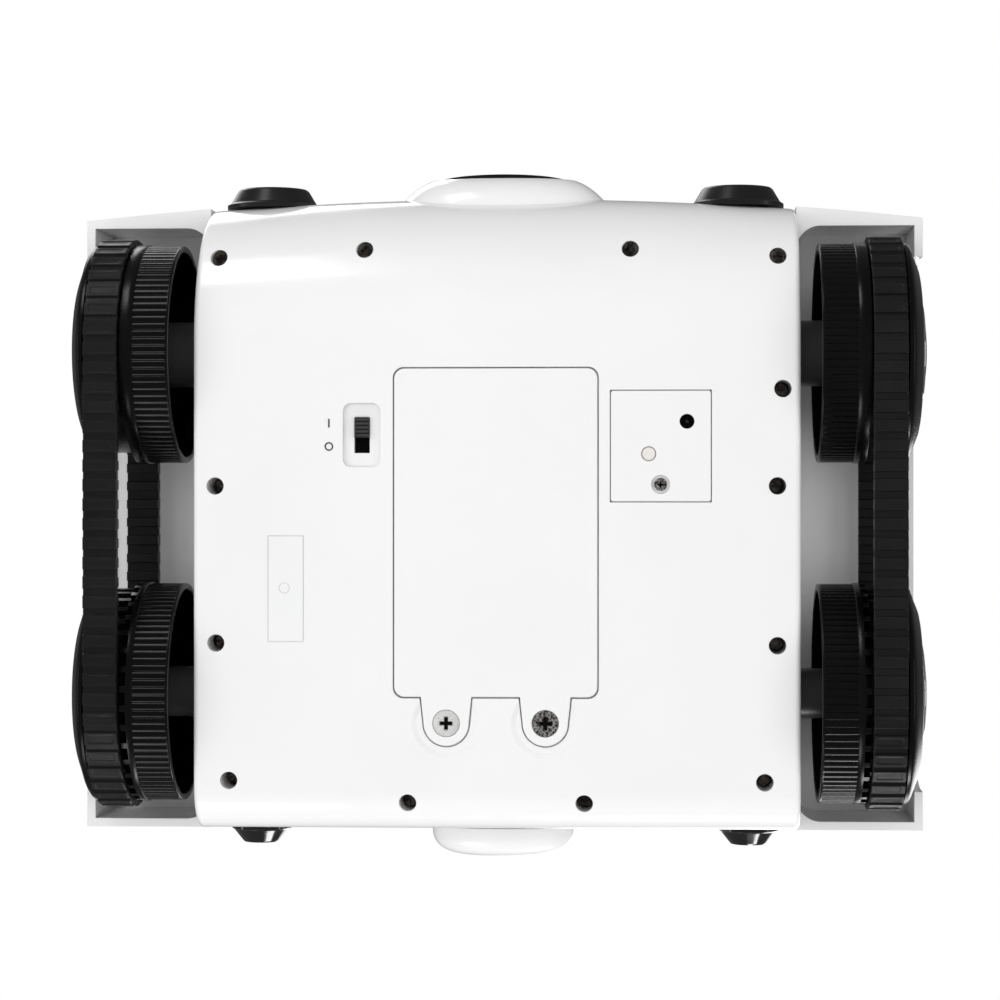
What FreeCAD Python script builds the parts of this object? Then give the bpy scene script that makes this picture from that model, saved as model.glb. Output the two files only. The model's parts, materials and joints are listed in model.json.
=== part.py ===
"""Tracked camera rover: a low, wide toy vehicle with two rubber tracks, built as separate pieces.

Frame: +Z up, front towards -Y, ground at z = 0, origin under the middle of the overall box.
Pieces named "right" are on the +X side and pieces named "left" on the -X side.
"""

import FreeCAD
import Part
import Sketcher
import math
import os

Vec = FreeCAD.Vector
DEGREES_PER_TURN = 360
SHEET = "Sizes"

# Driving dimensions in millimetres: alias, value, what it is.
SIZES = (
    # running gear
    ("axle_mid_y", 2.4, "middle between the two axles"),
    ("pitch_radius", 30.7, "radius at which the track band neither stretches nor shortens"),
    ("band_gauge", 1.6, "thickness of the track band without pads"),
    ("pad_depth", 1.4, "height of the outer pads and of the inner lugs"),
    ("pad_length", 3.5, "length of an outer pad along the track"),
    ("lug_length", 2.7, "length of an inner lug along the track"),
    ("track_in", 103.9, "inner side of the track, from the centre plane"),
    ("track_out", 113.2, "outer side of the track"),
    ("drum_in", 90.0, "open inner rim of a wheel drum"),
    ("rib_out", 100.0, "outer end of the ribbed surface"),
    ("drum_out", 113.6, "outer face of a wheel drum"),
    ("drum_radius", 31.0, "outside radius of a wheel drum"),
    ("drum_bore", 29.2, "inside radius of the drum's open end"),
    ("shoulder_radius", 31.3, "smooth shoulder beside the track"),
    ("shoulder_out", 103.5, "outer end of that shoulder"),
    ("seat_radius", 29.5, "seat of the track on the driven wheel"),
    ("notch_radius", 28.0, "bottom of the driven wheel's notches"),
    ("notch_width", 3.4, "width of a notch"),
    ("notch_in", 101.7, "inner end of a notch"),
    ("idler_seat", 28.1, "channel of the idler wheel, in which the lugs run"),
    ("hub_in", 100.4, "inner end of a wheel hub"),
    ("hub_radius", 6.0, "outside radius of a wheel hub"),
    ("web_in", 108.5, "inner face of a wheel's web"),
    ("disc_edge", 31.3, "radius of the outer wheel disc"),
    ("disc_out", 118.3, "highest part of the outer wheel disc"),
    ("cap_radius", 13.0, "radius of a hub cap"),
    ("cap_seat", 117.0, "seat of a hub cap"),
    ("cap_out", 120.5, "outermost point of a hub cap"),
    ("ring_radius", 14.6, "outside radius of the bright ring round a hub cap"),
    ("axle_radius", 2.0, "radius of the axles"),
    ("shaft_play", 0.06, "radial clearance of turning shafts"),
    ("idler_axle_in", 74.0, "inner end of a front axle"),
    ("boss_out", 99.6, "outer end of the axle bosses"),
    ("front_boss_radius", 9.35, "radius of the front axle bosses"),
    ("rear_boss_radius", 7.15, "radius of the rear axle bosses"),
    # hull
    ("hull_half", 84.6, "half width of the hull between the tracks"),
    ("hull_floor", 12.0, "underside of the hull above the ground"),
    ("hull_rim", 52.0, "joint line between the hull and the top shell"),
    ("seam", 0.3, "open joint line between two mouldings"),
    ("wall", 2.2, "wall of the mouldings"),
    ("front_y", -91.8, "front face on the centre plane"),
    ("rear_y", 90.6, "rear face"),
    ("front_bow", 1105.0, "radius of the bowed front face in plan"),
    ("front_roll", 39.5, "radius of the hull's front underside"),
    ("rear_roll", 12.6, "radius of the hull's rear underside"),
    ("rear_draft", 3.2, "how far the hull's rear face leans forwards at the bottom"),
    ("side_round", 1.6, "rounding of the hull's lower side edges"),
    # top shell
    ("shell_half", 120.8, "half width over the fenders"),
    ("skirt_z", 42.0, "lower edge of the fender's front and rear walls"),
    ("deck_z", 76.0, "height of the fenders"),
    ("hood_rise", 28.0, "rise of the hood above the fenders"),
    ("hood_half", 84.0, "half width of the hood"),
    ("hood_length", 87.0, "half length of the hood"),
    ("shell_round", 5.0, "rounding of the shell's upper edge"),
    ("well_front", -83.0, "front wall of the wheel wells"),
    ("well_rear", 88.2, "rear wall of the wheel wells"),
    ("well_round", 7.0, "vertical inner corners of the wheel wells"),
    ("arch_z", 70.0, "top of the fender's side opening"),
    ("arch_front", -74.0, "front end of the side opening"),
    ("arch_rear", 79.5, "rear end of the side opening"),
    ("arch_round", 22.0, "upper corners of the side opening"),
    # camera nose and rear cap
    ("nose_z", 56.0, "height of the camera nose's axis"),
    ("nose_tip", -97.3, "front face of the nose behind the visor"),
    ("visor_half", 20.5, "half width of the camera visor"),
    ("visor_tall", 22.0, "height of the camera visor"),
    ("visor_front", -98.6, "foremost point of the visor"),
    ("visor_bow", 132.0, "radius of the visor in plan"),
    ("pivot_y", -80.0, "tilt axis of the camera"),
    ("head_radius", 9.0, "radius of the camera barrel about its tilt axis"),
    ("head_half", 9.0, "half width of the camera barrel"),
    ("pin_radius", 1.6, "radius of the tilt pins"),
    ("cap_rear", 99.4, "rearmost point of the rear cap"),
    ("cap_z", 53.0, "height of the rear cap's axis"),
    # lamps
    ("head_lamp_x", 68.0, "headlamp from the centre plane"),
    ("head_lamp_z", 54.0, "headlamp height"),
    ("head_lamp_y", -89.4, "seat of the headlamps"),
    ("head_lamp_base", 13.5, "radius of a headlamp's base"),
    ("head_lamp_mouth", 9.8, "radius of a headlamp's mouth"),
    ("head_lamp_long", 5.8, "length of a headlamp in front of its seat"),
    ("tail_lamp_x", 71.4, "tail lamp from the centre plane"),
    ("tail_lamp_z", 54.0, "tail lamp height"),
    ("tail_lamp_base", 8.9, "radius of a tail lamp's base"),
    ("tail_lamp_mouth", 5.3, "radius of a tail lamp's mouth"),
    ("tail_lamp_long", 5.4, "length of a tail lamp behind the shell"),
    # battery bay
    ("cover_half", 28.3, "half width of the battery cover"),
    ("cover_front", -40.8, "front edge of the battery cover"),
    ("cover_rear", 50.6, "rear edge of the battery cover"),
    ("cover_round", 2.9, "corners of the battery cover"),
    ("cover_gap", 0.35, "gap round the battery cover"),
    ("cover_gauge", 2.0, "thickness of the battery cover"),
    ("tab_x", 13.8, "cover tab from the centre plane"),
    ("tab_screw_y", 57.9, "screw in a cover tab"),
    ("tab_radius", 6.3, "rounded end of a cover tab"),
    ("cell_radius", 7.2, "AA cell"),
    ("cell_length", 49.2, "AA cell body without the button"),
    ("cell_pitch", 14.7, "spacing of the cells"),
    ("bay_half", 27.2, "half width of the battery bay"),
    ("bay_front", -39.6, "front wall of the battery bay"),
    ("bay_rear", 49.4, "rear wall of the battery bay"),
    ("bay_top", 30.4, "roof of the battery bay"),
    # underside controls
    ("switch_x", -37.4, "middle of the power switch"),
    ("switch_y", -22.3, "middle of the power switch"),
    ("recess_wide", 10.4, "width of the switch recess"),
    ("recess_long", 17.7, "length of the switch recess"),
    ("recess_deep", 1.6, "depth of the switch recess"),
    ("slot_wide", 4.3, "width of the switch slot"),
    ("slot_long", 10.0, "length of the switch slot"),
    ("knob_wide", 4.0, "width of the switch knob"),
    ("knob_long", 5.6, "length of the switch knob"),
    ("panel_in", 32.0, "service panel, side towards the middle"),
    ("panel_out", 59.7, "service panel, outer side"),
    ("panel_front", -34.5, "service panel, front side"),
    ("panel_rear", -3.8, "service panel, rear side"),
    ("panel_gauge", 1.8, "thickness of the service panel"),
    ("jack_x", 53.1, "charging jack"),
    ("jack_y", -26.0, "charging jack"),
    ("jack_radius", 2.0, "bore of the charging jack"),
    ("reset_x", 42.5, "reset button"),
    ("reset_y", -17.0, "reset button"),
    ("reset_radius", 1.9, "radius of the reset button"),
    ("panel_screw_x", 45.8, "screw of the service panel"),
    ("panel_screw_y", -8.5, "screw of the service panel"),
    ("label_in", -53.6, "blank label, side towards the middle"),
    ("label_out", -63.6, "blank label, outer side"),
    ("label_front", 5.7, "blank label, front side"),
    ("label_rear", 35.3, "blank label, rear side"),
    ("label_gauge", 0.1, "thickness of the blank label"),
    # hull screws
    ("well_radius", 2.4, "radius of a hull screw's well"),
    ("post_radius", 4.4, "radius of a hull screw's post"),
    ("post_top", 51.4, "top of the hull screw posts"),
    ("screw_seat", 24.5, "seat of the hull screws' heads"),
    ("screw_head", 2.25, "radius of a hull screw's head"),
    ("screw_core", 1.3, "radius of a hull screw's shank"),
    # drive
    ("gear_module", 0.6, "module of the drive gears"),
    ("gear_play", 0.12, "clearance between meshing gears"),
    ("box_in", 50.0, "gearbox, inner side"),
    ("box_out", 66.0, "gearbox, outer side"),
    ("box_wall", 1.6, "gearbox wall"),
    ("box_front", 15.0, "gearbox, front side"),
    ("box_rear", 64.4, "gearbox, rear side"),
    ("box_top", 46.4, "gearbox, top"),
    ("motor_radius", 7.9, "drive motor"),
    ("motor_in", 31.6, "drive motor, inner end"),
)

TRACK_TEETH = 36      # notches of a driven wheel
SPAN_PITCHES = 18     # pitches between the axles
AXLE_GEAR_TEETH = 36
CLUSTER_SMALL_TEETH = 12
CLUSTER_LARGE_TEETH = 30
PINION_TEETH = 10
CELLS = 6

doc = FreeCAD.newDocument("tracked_rover")
sheet = doc.addObject("Spreadsheet::Sheet", SHEET)
for row, (alias, number, note) in enumerate(SIZES, start=1):
    sheet.set(f"A{row}", note)
    sheet.set(f"B{row}", str(number))
    sheet.setAlias(f"B{row}", alias)
doc.recompute()
ALIASES = {alias for alias, _, _ in SIZES}
kept = []


def bound(text):
    """The expression with each alias written as a cell of the sheet."""
    words = ""
    out = ""
    for letter in str(text) + " ":
        if letter.isalnum() or letter == "_":
            words += letter
            continue
        out += f"{SHEET}.{words}" if words in ALIASES else words
        out += letter
        words = ""
    return out.strip()


def size(text):
    """The number that an expression of aliases has now."""
    return float(sheet.evalExpression(bound(text)))


def bind(piece, name, text):
    piece.setExpression(name, bound(text))


def keep(piece):
    """Marks a sub-part that is written to its own file."""
    kept.append(piece)
    return piece


# ---------------------------------------------------------------- primitives and booleans

def box(name, x, y, z):
    """A block between pairs of size expressions."""
    piece = doc.addObject("Part::Box", name)
    for edge, letter, (low, high) in zip(("Length", "Width", "Height"), "xyz", (x, y, z)):
        bind(piece, edge, f"({high}) - ({low})")
        bind(piece, f"Placement.Base.{letter}", low)
    return piece


def rod(name, along, radius, start, end, centre):
    """A cylinder along x, y or z from start to end; centre is its place on the two other axes."""
    turns = {
        "x": FreeCAD.Rotation(Vec(0, 1, 0), 90),
        "y": FreeCAD.Rotation(Vec(1, 0, 0), -90),
        "z": FreeCAD.Rotation(),
    }
    piece = doc.addObject("Part::Cylinder", name)
    piece.Placement = FreeCAD.Placement(Vec(), turns[along])
    bind(piece, "Radius", radius)
    bind(piece, "Height", f"({end}) - ({start})")
    bind(piece, f"Placement.Base.{along}", start)
    for letter, text in zip("xyz".replace(along, ""), centre):
        bind(piece, f"Placement.Base.{letter}", text)
    return piece


def joined(kind, name, pieces):
    piece = doc.addObject(kind, name)
    piece.Shapes = list(pieces)
    return piece


def fuse(name, *pieces):
    return joined("Part::MultiFuse", name, pieces)


def common(name, *pieces):
    return joined("Part::MultiCommon", name, pieces)


def cut(name, base, *tools):
    piece = doc.addObject("Part::Cut", name)
    piece.Base = base
    piece.Tool = tools[0] if len(tools) == 1 else fuse(f"{name}_cutters", *tools)
    return piece


def fixed(name, shape):
    """A piece whose shape is worked out by the functions below from the sheet's sizes."""
    piece = doc.addObject("Part::Feature", name)
    piece.Shape = shape
    return piece


def mirrored(name, source):
    """The same piece on the other side of the centre plane."""
    piece = doc.addObject("Part::Mirroring", name)
    piece.Source = source
    piece.Normal = Vec(1, 0, 0)
    return piece


def rounded(name, base, chooser, radius):
    """Fillets the edges that chooser picks by their middle point and length."""
    doc.recompute()
    piece = doc.addObject("Part::Fillet", name)
    piece.Base = base
    picked = [
        (number, size(radius), size(radius))
        for number, edge in enumerate(base.Shape.Edges, start=1)
        if chooser(edge)
    ]
    if not picked:
        raise ValueError(f"{name}: no edge to round")
    piece.Edges = picked
    return piece


# ---------------------------------------------------------------- bodies

def sketch_on(body, name, role, offset="0"):
    plane = next(item for item in body.Origin.OriginFeatures if item.Role == role)
    sketch = body.newObject("Sketcher::SketchObject", name)
    sketch.AttachmentSupport = [(plane, "")]
    sketch.MapMode = "FlatFace"
    bind(sketch, "AttachmentOffset.Base.z", offset)
    return sketch


def outline(sketch, corners):
    """A closed outline of straight edges whose corners are pairs of size expressions."""
    first = sketch.GeometryCount
    count = len(corners)
    places = [Vec(size(x), size(y), 0) for x, y in corners]
    for number in range(count):
        sketch.addGeometry(Part.LineSegment(places[number], places[(number + 1) % count]))
    for number, (x, y) in enumerate(corners):
        edge = first + number
        following = first + (number + 1) % count
        sketch.addConstraint(Sketcher.Constraint("Coincident", edge, 2, following, 1))
        for kind, text in (("DistanceX", x), ("DistanceY", y)):
            rule = Sketcher.Constraint(kind, -1, 1, edge, 1, size(text))
            place = sketch.addConstraint(rule)
            bind(sketch, f"Constraints[{place}]", text)


def circle(sketch, x, y, radius):
    edge = sketch.addGeometry(Part.Circle(Vec(size(x), size(y), 0), Vec(0, 0, 1), size(radius)))
    rules = (
        ("DistanceX", (-1, 1, edge, 3), x),
        ("DistanceY", (-1, 1, edge, 3), y),
        ("Radius", (edge,), radius),
    )
    for kind, where, text in rules:
        place = sketch.addConstraint(Sketcher.Constraint(kind, *where, size(text)))
        bind(sketch, f"Constraints[{place}]", text)


def turned(name, corners, toward="x"):
    """A body revolved about its own X axis from corners (along, radius), then aimed.

    toward is the row axis on which the profile's positive side points.
    """
    aims = {
        "x": FreeCAD.Rotation(),
        "-y": FreeCAD.Rotation(Vec(0, 0, 1), -90),
        "y": FreeCAD.Rotation(Vec(0, 0, 1), 90),
        "-z": FreeCAD.Rotation(Vec(0, 1, 0), 90),
        "z": FreeCAD.Rotation(Vec(0, 1, 0), -90),
    }
    body = doc.addObject("PartDesign::Body", name)
    sketch = sketch_on(body, f"{name}_profile", "XZ_Plane")
    outline(sketch, corners)
    turn = body.newObject("PartDesign::Revolution", f"{name}_turn")
    turn.Profile = sketch
    turn.ReferenceAxis = (sketch, ["H_Axis"])
    turn.Angle = DEGREES_PER_TURN
    body.Placement = FreeCAD.Placement(Vec(), aims[toward])
    return body


def placed(body, x="0", y="0", z="0"):
    for letter, text in zip("xyz", (x, y, z)):
        bind(body, f"Placement.Base.{letter}", text)
    return body


def padded(name, offset, corners, height, holes=()):
    """A flat body on the XY plane at offset, with round holes (x, y, radius)."""
    body = doc.addObject("PartDesign::Body", name)
    sketch = sketch_on(body, f"{name}_outline", "XY_Plane", offset)
    outline(sketch, corners)
    for hole in holes:
        circle(sketch, *hole)
    pad = body.newObject("PartDesign::Pad", f"{name}_pad")
    pad.Profile = sketch
    bind(pad, "Length", height)
    return body


def soften(body, name, chooser, radius):
    """Rounds the body's edges that chooser picks."""
    doc.recompute()
    names = [
        f"Edge{number}" for number, edge in enumerate(body.Shape.Edges, start=1) if chooser(edge)
    ]
    if not names:
        raise ValueError(f"{name}: no edge to round")
    tip = body.Tip
    fillet = body.newObject("PartDesign::Fillet", name)
    fillet.Base = (tip, names)
    bind(fillet, "Radius", radius)
    return body


def upright(edge):
    """True for a straight edge along Z."""
    return edge.BoundBox.XLength < 0.01 and edge.BoundBox.YLength < 0.01


def rectangle(left, right, front, rear):
    return ((left, front), (right, front), (right, rear), (left, rear))


# ---------------------------------------------------------------- track geometry

axle_z = "(pitch_radius + band_gauge / 2 + pad_depth)"
half_base = f"({math.pi} * pitch_radius / 2)"
front_axle_y = f"(axle_mid_y - {half_base})"
rear_axle_y = f"(axle_mid_y + {half_base})"
track_pitch = math.pi * size("pitch_radius") / SPAN_PITCHES


def track_point(travel, offset):
    """A point (y, z) on the loop, travel pitches from the front axle's lowest point, offset outwards."""
    radius = size("pitch_radius")
    front = size(front_axle_y)
    rear = size(rear_axle_y)
    height = size(axle_z)
    travel %= 4 * SPAN_PITCHES
    side, share = divmod(travel, SPAN_PITCHES)
    share /= SPAN_PITCHES
    if side == 0:
        return front + share * (rear - front), height - radius - offset
    if side == 1:
        angle = math.pi * (share - 0.5)
        return (rear + (radius + offset) * math.cos(angle),
                height + (radius + offset) * math.sin(angle))
    if side == 2:
        return rear + share * (front - rear), height + radius + offset
    angle = math.pi * (share + 0.5)
    return (front + (radius + offset) * math.cos(angle),
            height + (radius + offset) * math.sin(angle))


def toothed_loop(x, length, near, far):
    """The closed wire of a band surface with one block on each pitch, near and far being offsets."""
    half = length / (2 * track_pitch)
    points = []
    for tooth in range(4 * SPAN_PITCHES):
        for travel, offset in (
            (tooth - half, near),
            (tooth - half, far),
            (tooth + half, far),
            (tooth + half, near),
        ):
            y, z = track_point(travel, offset)
            points.append(Vec(x, y, z))
    return Part.makePolygon(points + points[:1])


def track():
    """One rubber track: a closed band with pads outside and lugs inside."""
    start = size("track_in")
    width = size("track_out") - start
    half = size("band_gauge") / 2
    depth = size("pad_depth")
    outer = Part.Face(toothed_loop(start, size("pad_length"), half, half + depth))
    inner = Part.Face(toothed_loop(start, size("lug_length"), -half, -half - depth))
    return outer.extrude(Vec(width, 0, 0)).cut(inner.extrude(Vec(width, 0, 0)))


track_right = keep(fixed("track_right", track()))
keep(mirrored("track_left", track_right))


# ---------------------------------------------------------------- wheels

def drum(name, seat):
    """A wheel drum, open towards the hull, whose track seat has the given radius."""
    return turned(name, (
        ("hub_in", "axle_radius"),
        ("hub_in", "hub_radius"),
        ("web_in", "hub_radius + 1"),
        ("web_in", f"{seat} - 2.2"),
        ("rib_out + 1", f"{seat} - 2.2"),
        ("rib_out", "drum_bore"),
        ("drum_in", "drum_bore"),
        ("drum_in", "drum_radius"),
        ("rib_out", "drum_radius"),
        ("rib_out", "shoulder_radius"),
        ("shoulder_out", "shoulder_radius"),
        ("shoulder_out", seat),
        ("drum_out", seat),
        ("drum_out", "axle_radius"),
    ))


def notch(body):
    """Cuts the notches into which the track's lugs fall."""
    sketch = sketch_on(body, f"{body.Name}_notches", "YZ_Plane", "notch_in")
    half = size("notch_width") / 2
    bottom = size("notch_radius")
    top = size("shoulder_radius") + 1
    for number in range(TRACK_TEETH):
        turn = FreeCAD.Rotation(Vec(0, 0, 1), number * DEGREES_PER_TURN / TRACK_TEETH)
        corners = [
            turn.multVec(Vec(r, t, 0))
            for r, t in ((bottom, -half), (top, -half), (top, half), (bottom, half))
        ]
        for one, other in zip(corners, corners[1:] + corners[:1]):
            sketch.addGeometry(Part.LineSegment(one, other))
    pocket = body.newObject("PartDesign::Pocket", f"{body.Name}_notch_cut")
    pocket.Profile = sketch
    pocket.Reversed = True
    bind(pocket, "Length", "drum_out - notch_in + 1")


def wheel(place, axle_y, seat, axle_in, driven):
    """The four pieces of a right-hand wheel, and their mirror images on the left."""
    turning = drum(f"{place}_drum_right", seat)
    if driven:
        notch(turning)
    disc = turned(f"{place}_disc_right", (
        ("drum_out", "axle_radius"),
        ("drum_out", "disc_edge"),
        ("drum_out + 1.2", "disc_edge"),
        ("disc_out", "disc_edge - 7.8"),
        ("disc_out + 0.4", "ring_radius"),
        ("cap_seat", "ring_radius"),
        ("cap_seat", "axle_radius"),
    ))
    edge_radius = size("disc_edge")
    soften(
        disc,
        f"{place}_disc_rounding",
        lambda edge: edge.BoundBox.XLength < 0.01
        and edge.BoundBox.ZMax > edge_radius - 8.5
        and edge.BoundBox.XMax > size("drum_out") + 1,
        "1.1",
    )
    cap = turned(f"{place}_hub_cap_right", (
        ("cap_seat", "0"),
        ("cap_seat", "ring_radius - 0.05"),
        ("disc_out + 0.9", "ring_radius - 0.05"),
        ("disc_out + 1.3", "cap_radius"),
        ("cap_out - 0.4", "cap_radius - 3.5"),
        ("cap_out", "cap_radius - 7"),
        ("cap_out", "0"),
    ))
    axle = rod(f"{place}_axle_right", "x", "axle_radius", axle_in, "cap_seat", (axle_y, axle_z))
    for body in (turning, disc, cap):
        placed(body, y=axle_y, z=axle_z)
    for piece in (turning, disc, cap, axle):
        keep(piece)
        keep(mirrored(piece.Name.replace("right", "left"), piece))


wheel("front", front_axle_y, "idler_seat", "idler_axle_in", False)
wheel("rear", rear_axle_y, "seat_radius", "box_in + 0.4", True)


def axle_boss(place, axle_y, radius):
    """The fixed tube that carries an axle from the hull's side into the open wheel."""
    boss = placed(turned(f"{place}_axle_boss_right", (
        ("hull_half", "axle_radius + shaft_play"),
        ("hull_half", radius),
        ("boss_out - 0.8", radius),
        ("boss_out", f"{radius} - 0.8"),
        ("boss_out", "axle_radius + shaft_play"),
    )), y=axle_y, z=axle_z)
    other = mirrored(f"{place}_axle_boss_left", boss)
    doc.recompute()
    keep(fixed(f"{place}_axle_bosses", Part.makeCompound([boss.Shape, other.Shape])))


axle_boss("front", front_axle_y, "front_boss_radius")
axle_boss("rear", rear_axle_y, "rear_boss_radius")


# ---------------------------------------------------------------- hull

def bowed_block(name, half, front, rear, low, high, inset):
    """A block whose front face is bowed in plan like the rover's front."""
    block = box(f"{name}_block", (f"-{half}", half), (f"{front} - 5", rear), (low, high))
    bow = rod(f"{name}_bow", "z", f"front_bow - {inset}", low, high, ("0", "front_y + front_bow"))
    return common(f"{name}_bowed", block, bow)


far = 300.0


def rolled_block(name, inset, low, high):
    """The hull's block with its front and rear undersides rolled up, inset all round."""
    plain = bowed_block(
        name, f"(hull_half - {inset})", "front_y", f"rear_y - {inset}", low, high, inset
    )
    bottom = size(low)
    top = size(high)
    middle = size("axle_mid_y")
    rear = size(f"rear_y - {inset}")
    lean = size("rear_draft") / (size("hull_rim") - size("hull_floor"))
    corners = [
        Vec(-far, rear - lean * (size("hull_rim") - bottom), bottom), Vec(-far, far, bottom),
        Vec(-far, far, top), Vec(-far, rear - lean * (size("hull_rim") - top), top),
    ]
    beyond = Part.Face(Part.makePolygon(corners + corners[:1])).extrude(Vec(2 * far, 0, 0))
    plain = cut(f"{name}_drafted", plain, fixed(f"{name}_rear_draft", beyond))

    def on_floor(edge):
        return edge.BoundBox.ZMax < bottom + 0.01 and edge.BoundBox.XLength > size("hull_half")

    rear = rounded(
        f"{name}_rear_roll", plain,
        lambda edge: on_floor(edge) and edge.CenterOfMass.y > middle, f"rear_roll - {inset}",
    )
    return rounded(
        f"{name}_front_roll", rear,
        lambda edge: on_floor(edge) and edge.CenterOfMass.y < middle - 60, f"front_roll - {inset}",
    )


def superellipse(y, middle_z, half_wide, half_tall, power=2.6, points=28):
    """A closed smooth outline in the plane of the given y."""
    ring = []
    for number in range(points):
        angle = 2 * math.pi * (number + 0.5) / points
        across, up = math.cos(angle), math.sin(angle)
        x = half_wide * math.copysign(abs(across) ** (2 / power), across)
        z = half_tall * math.copysign(abs(up) ** (2 / power), up)
        ring.append(Vec(x, y, middle_z + z))
    curve = Part.BSplineCurve()
    curve.interpolate(ring, PeriodicFlag=True)
    return Part.Wire([curve.toShape()])


def pod(middle_z, stations, inset=0.0):
    """A closed lofted form through (y, half width, half height) stations, inset all round."""
    rings = [superellipse(y, middle_z, wide - inset, tall - inset) for y, wide, tall in stations]
    return Part.makeLoft(rings, True)


nose_tip = size("nose_tip")
nose_stations = (
    (nose_tip + 30.0, 34.0, 20.5),
    (nose_tip + 13.0, 33.0, 20.2),
    (nose_tip + 8.0, 31.0, 19.6),
    (nose_tip + 4.5, 28.2, 18.2),
    (nose_tip + 1.8, 25.0, 15.8),
    (nose_tip, 21.6, 12.6),
)
nose_z = size("nose_z")
nose_outer = pod(nose_z, nose_stations)
nose_inner = pod(nose_z, nose_stations, size("wall")).translated(Vec(0, size("wall"), 0))
seam_z = size("hull_rim")
below_seam = Part.makeBox(far, far, seam_z, Vec(-far / 2, -far / 2, 0))
above_seam = Part.makeBox(far, far, far, Vec(-far / 2, -far / 2, seam_z + size("seam")))

hull_outer = rolled_block("hull_outer", "0", "hull_floor", "hull_rim")
hull_outer = rounded(
    "hull_outer_sides", hull_outer,
    lambda edge: abs(abs(edge.CenterOfMass.x) - size("hull_half")) < 0.01
    and edge.BoundBox.XLength < 0.01 and not upright(edge)
    and edge.BoundBox.ZMin < size("hull_rim") - 1,
    "side_round",
)
hull_inner = rolled_block("hull_inner", "wall", "hull_floor + wall", "hull_rim + 1")
nose_lower = fixed("nose_lower", nose_outer.common(below_seam))
nose_hollow = fixed("nose_hollow", nose_inner)

hull_screws_at = (
    (-78.5, -72.4), (78.5, -72.4), (-37.3, -74.5), (37.3, -74.5), (79.6, -35.0),
    (-78.4, -8.1), (78.1, -8.1), (-78.2, 35.7), (78.1, 36.1), (-74.6, 74.0), (74.6, 74.0),
    (-24.6, 80.1), (24.6, 80.1),
)
posts = fuse("screw_posts", *(
    rod(f"screw_post_{number}", "z", "post_radius", "hull_floor", "post_top", place)
    for number, place in enumerate(hull_screws_at)
))
posts_inside = common("screw_posts_inside", posts, hull_outer)
screw_wells = [
    rod(f"screw_well_{number}", "z", "well_radius", "0", "screw_seat", place)
    for number, place in enumerate(hull_screws_at)
]
screw_bores = [
    rod(f"screw_bore_{number}", "z", "screw_core + 0.15", "screw_seat - 1", "post_top + 1", place)
    for number, place in enumerate(hull_screws_at)
]

bay_walls = box(
    "bay_walls", ("-bay_half - 2", "bay_half + 2"), ("bay_front - 1.6", "bay_rear + 1.6"),
    ("hull_floor + 0.5", "bay_top + 1.6"),
)
tab_posts = [
    rod(f"tab_{form}_{side}", "z", radius, "hull_floor + 0.5", top, (f"{sign}tab_x", "tab_screw_y"))
    for side, sign in (("left", "-"), ("right", ""))
    for form, radius, top in (("post", "5", "hull_floor + 14"), ("base", "9.6", "hull_floor + 4.2"))
]
panel_frame = box(
    "panel_frame", ("panel_in - 1.6", "panel_out + 1.6"), ("panel_front - 1.6", "panel_rear + 1.6"),
    ("hull_floor + 0.5", "hull_floor + 6"),
)
switch_frame = box(
    "switch_frame",
    ("switch_x - recess_wide / 2 - 1.6", "switch_x + recess_wide / 2 + 1.6"),
    ("switch_y - recess_long / 2 - 1.6", "switch_y + recess_long / 2 + 1.6"),
    ("hull_floor + 0.5", "hull_floor + recess_deep + 1.8"),
)
board_posts = [
    rod(f"board_post_{number}", "z", "2.2", "bay_top + 1", "bay_top + 3.6", place)
    for number, place in enumerate(((-24, -32), (24, -32), (-24, 40), (24, 40)))
]
bay_bay = box(
    "bay_hollow", ("-bay_half", "bay_half"), ("bay_front", "bay_rear"), ("0", "bay_top")
)


def cover_outline(grow):
    """The cover's plan with its two screw tabs, grown all round, as one flat face at z = 0."""
    plan = Part.makeBox(
        2 * (size("cover_half") + grow),
        size("cover_rear") - size("cover_front") + 2 * grow,
        1.0,
        Vec(-size("cover_half") - grow, size("cover_front") - grow, 0),
    )
    plan = plan.makeFillet(size("cover_round"), [e for e in plan.Edges if upright(e)])
    for side in (-1, 1):
        middle = Vec(side * size("tab_x"), size("tab_screw_y"), 0)
        wide = size("tab_radius") + grow
        root = size("cover_rear") - 2
        corners = [
            Vec(middle.x - wide - 1.0, root, 0), Vec(middle.x + wide + 1.0, root, 0),
            Vec(middle.x + wide, middle.y, 0), Vec(middle.x - wide, middle.y, 0),
        ]
        tongue = Part.Face(Part.makePolygon(corners + corners[:1])).extrude(Vec(0, 0, 1))
        plan = plan.fuse([tongue, Part.makeCylinder(wide, 1.0, middle)])
    plan = plan.removeSplitter()
    return min(plan.Faces, key=lambda face: face.CenterOfMass.z)


floor_z = size("hull_floor")
cover_rebate = fixed(
    "cover_rebate",
    cover_outline(size("cover_gap")).extrude(Vec(0, 0, size("cover_gauge") + 0.2))
    .translated(Vec(0, 0, floor_z)),
)
cover_rebate_mouth = fixed(
    "cover_rebate_mouth",
    cover_outline(size("cover_gap")).extrude(Vec(0, 0, 2)).translated(Vec(0, 0, floor_z - 2)),
)
tab_dishes = [
    fixed(f"tab_dish_{side}", Part.makeCone(
        size("tab_radius") + 3.4, size("tab_radius") + 2.0, 0.7,
        Vec(sign * size("tab_x"), size("tab_screw_y"), floor_z - 0.1),
    ))
    for side, sign in (("left", -1), ("right", 1))
]
tab_bores = [
    rod(f"tab_bore_{side}", "z", "1.5", "hull_floor", "24", (f"{sign}tab_x", "tab_screw_y"))
    for side, sign in (("left", "-"), ("right", ""))
]
panel_rebate = box(
    "panel_rebate", ("panel_in - 0.25", "panel_out + 0.25"),
    ("panel_front - 0.25", "panel_rear + 0.25"), ("0", "hull_floor + panel_gauge + 0.1"),
)
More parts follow.
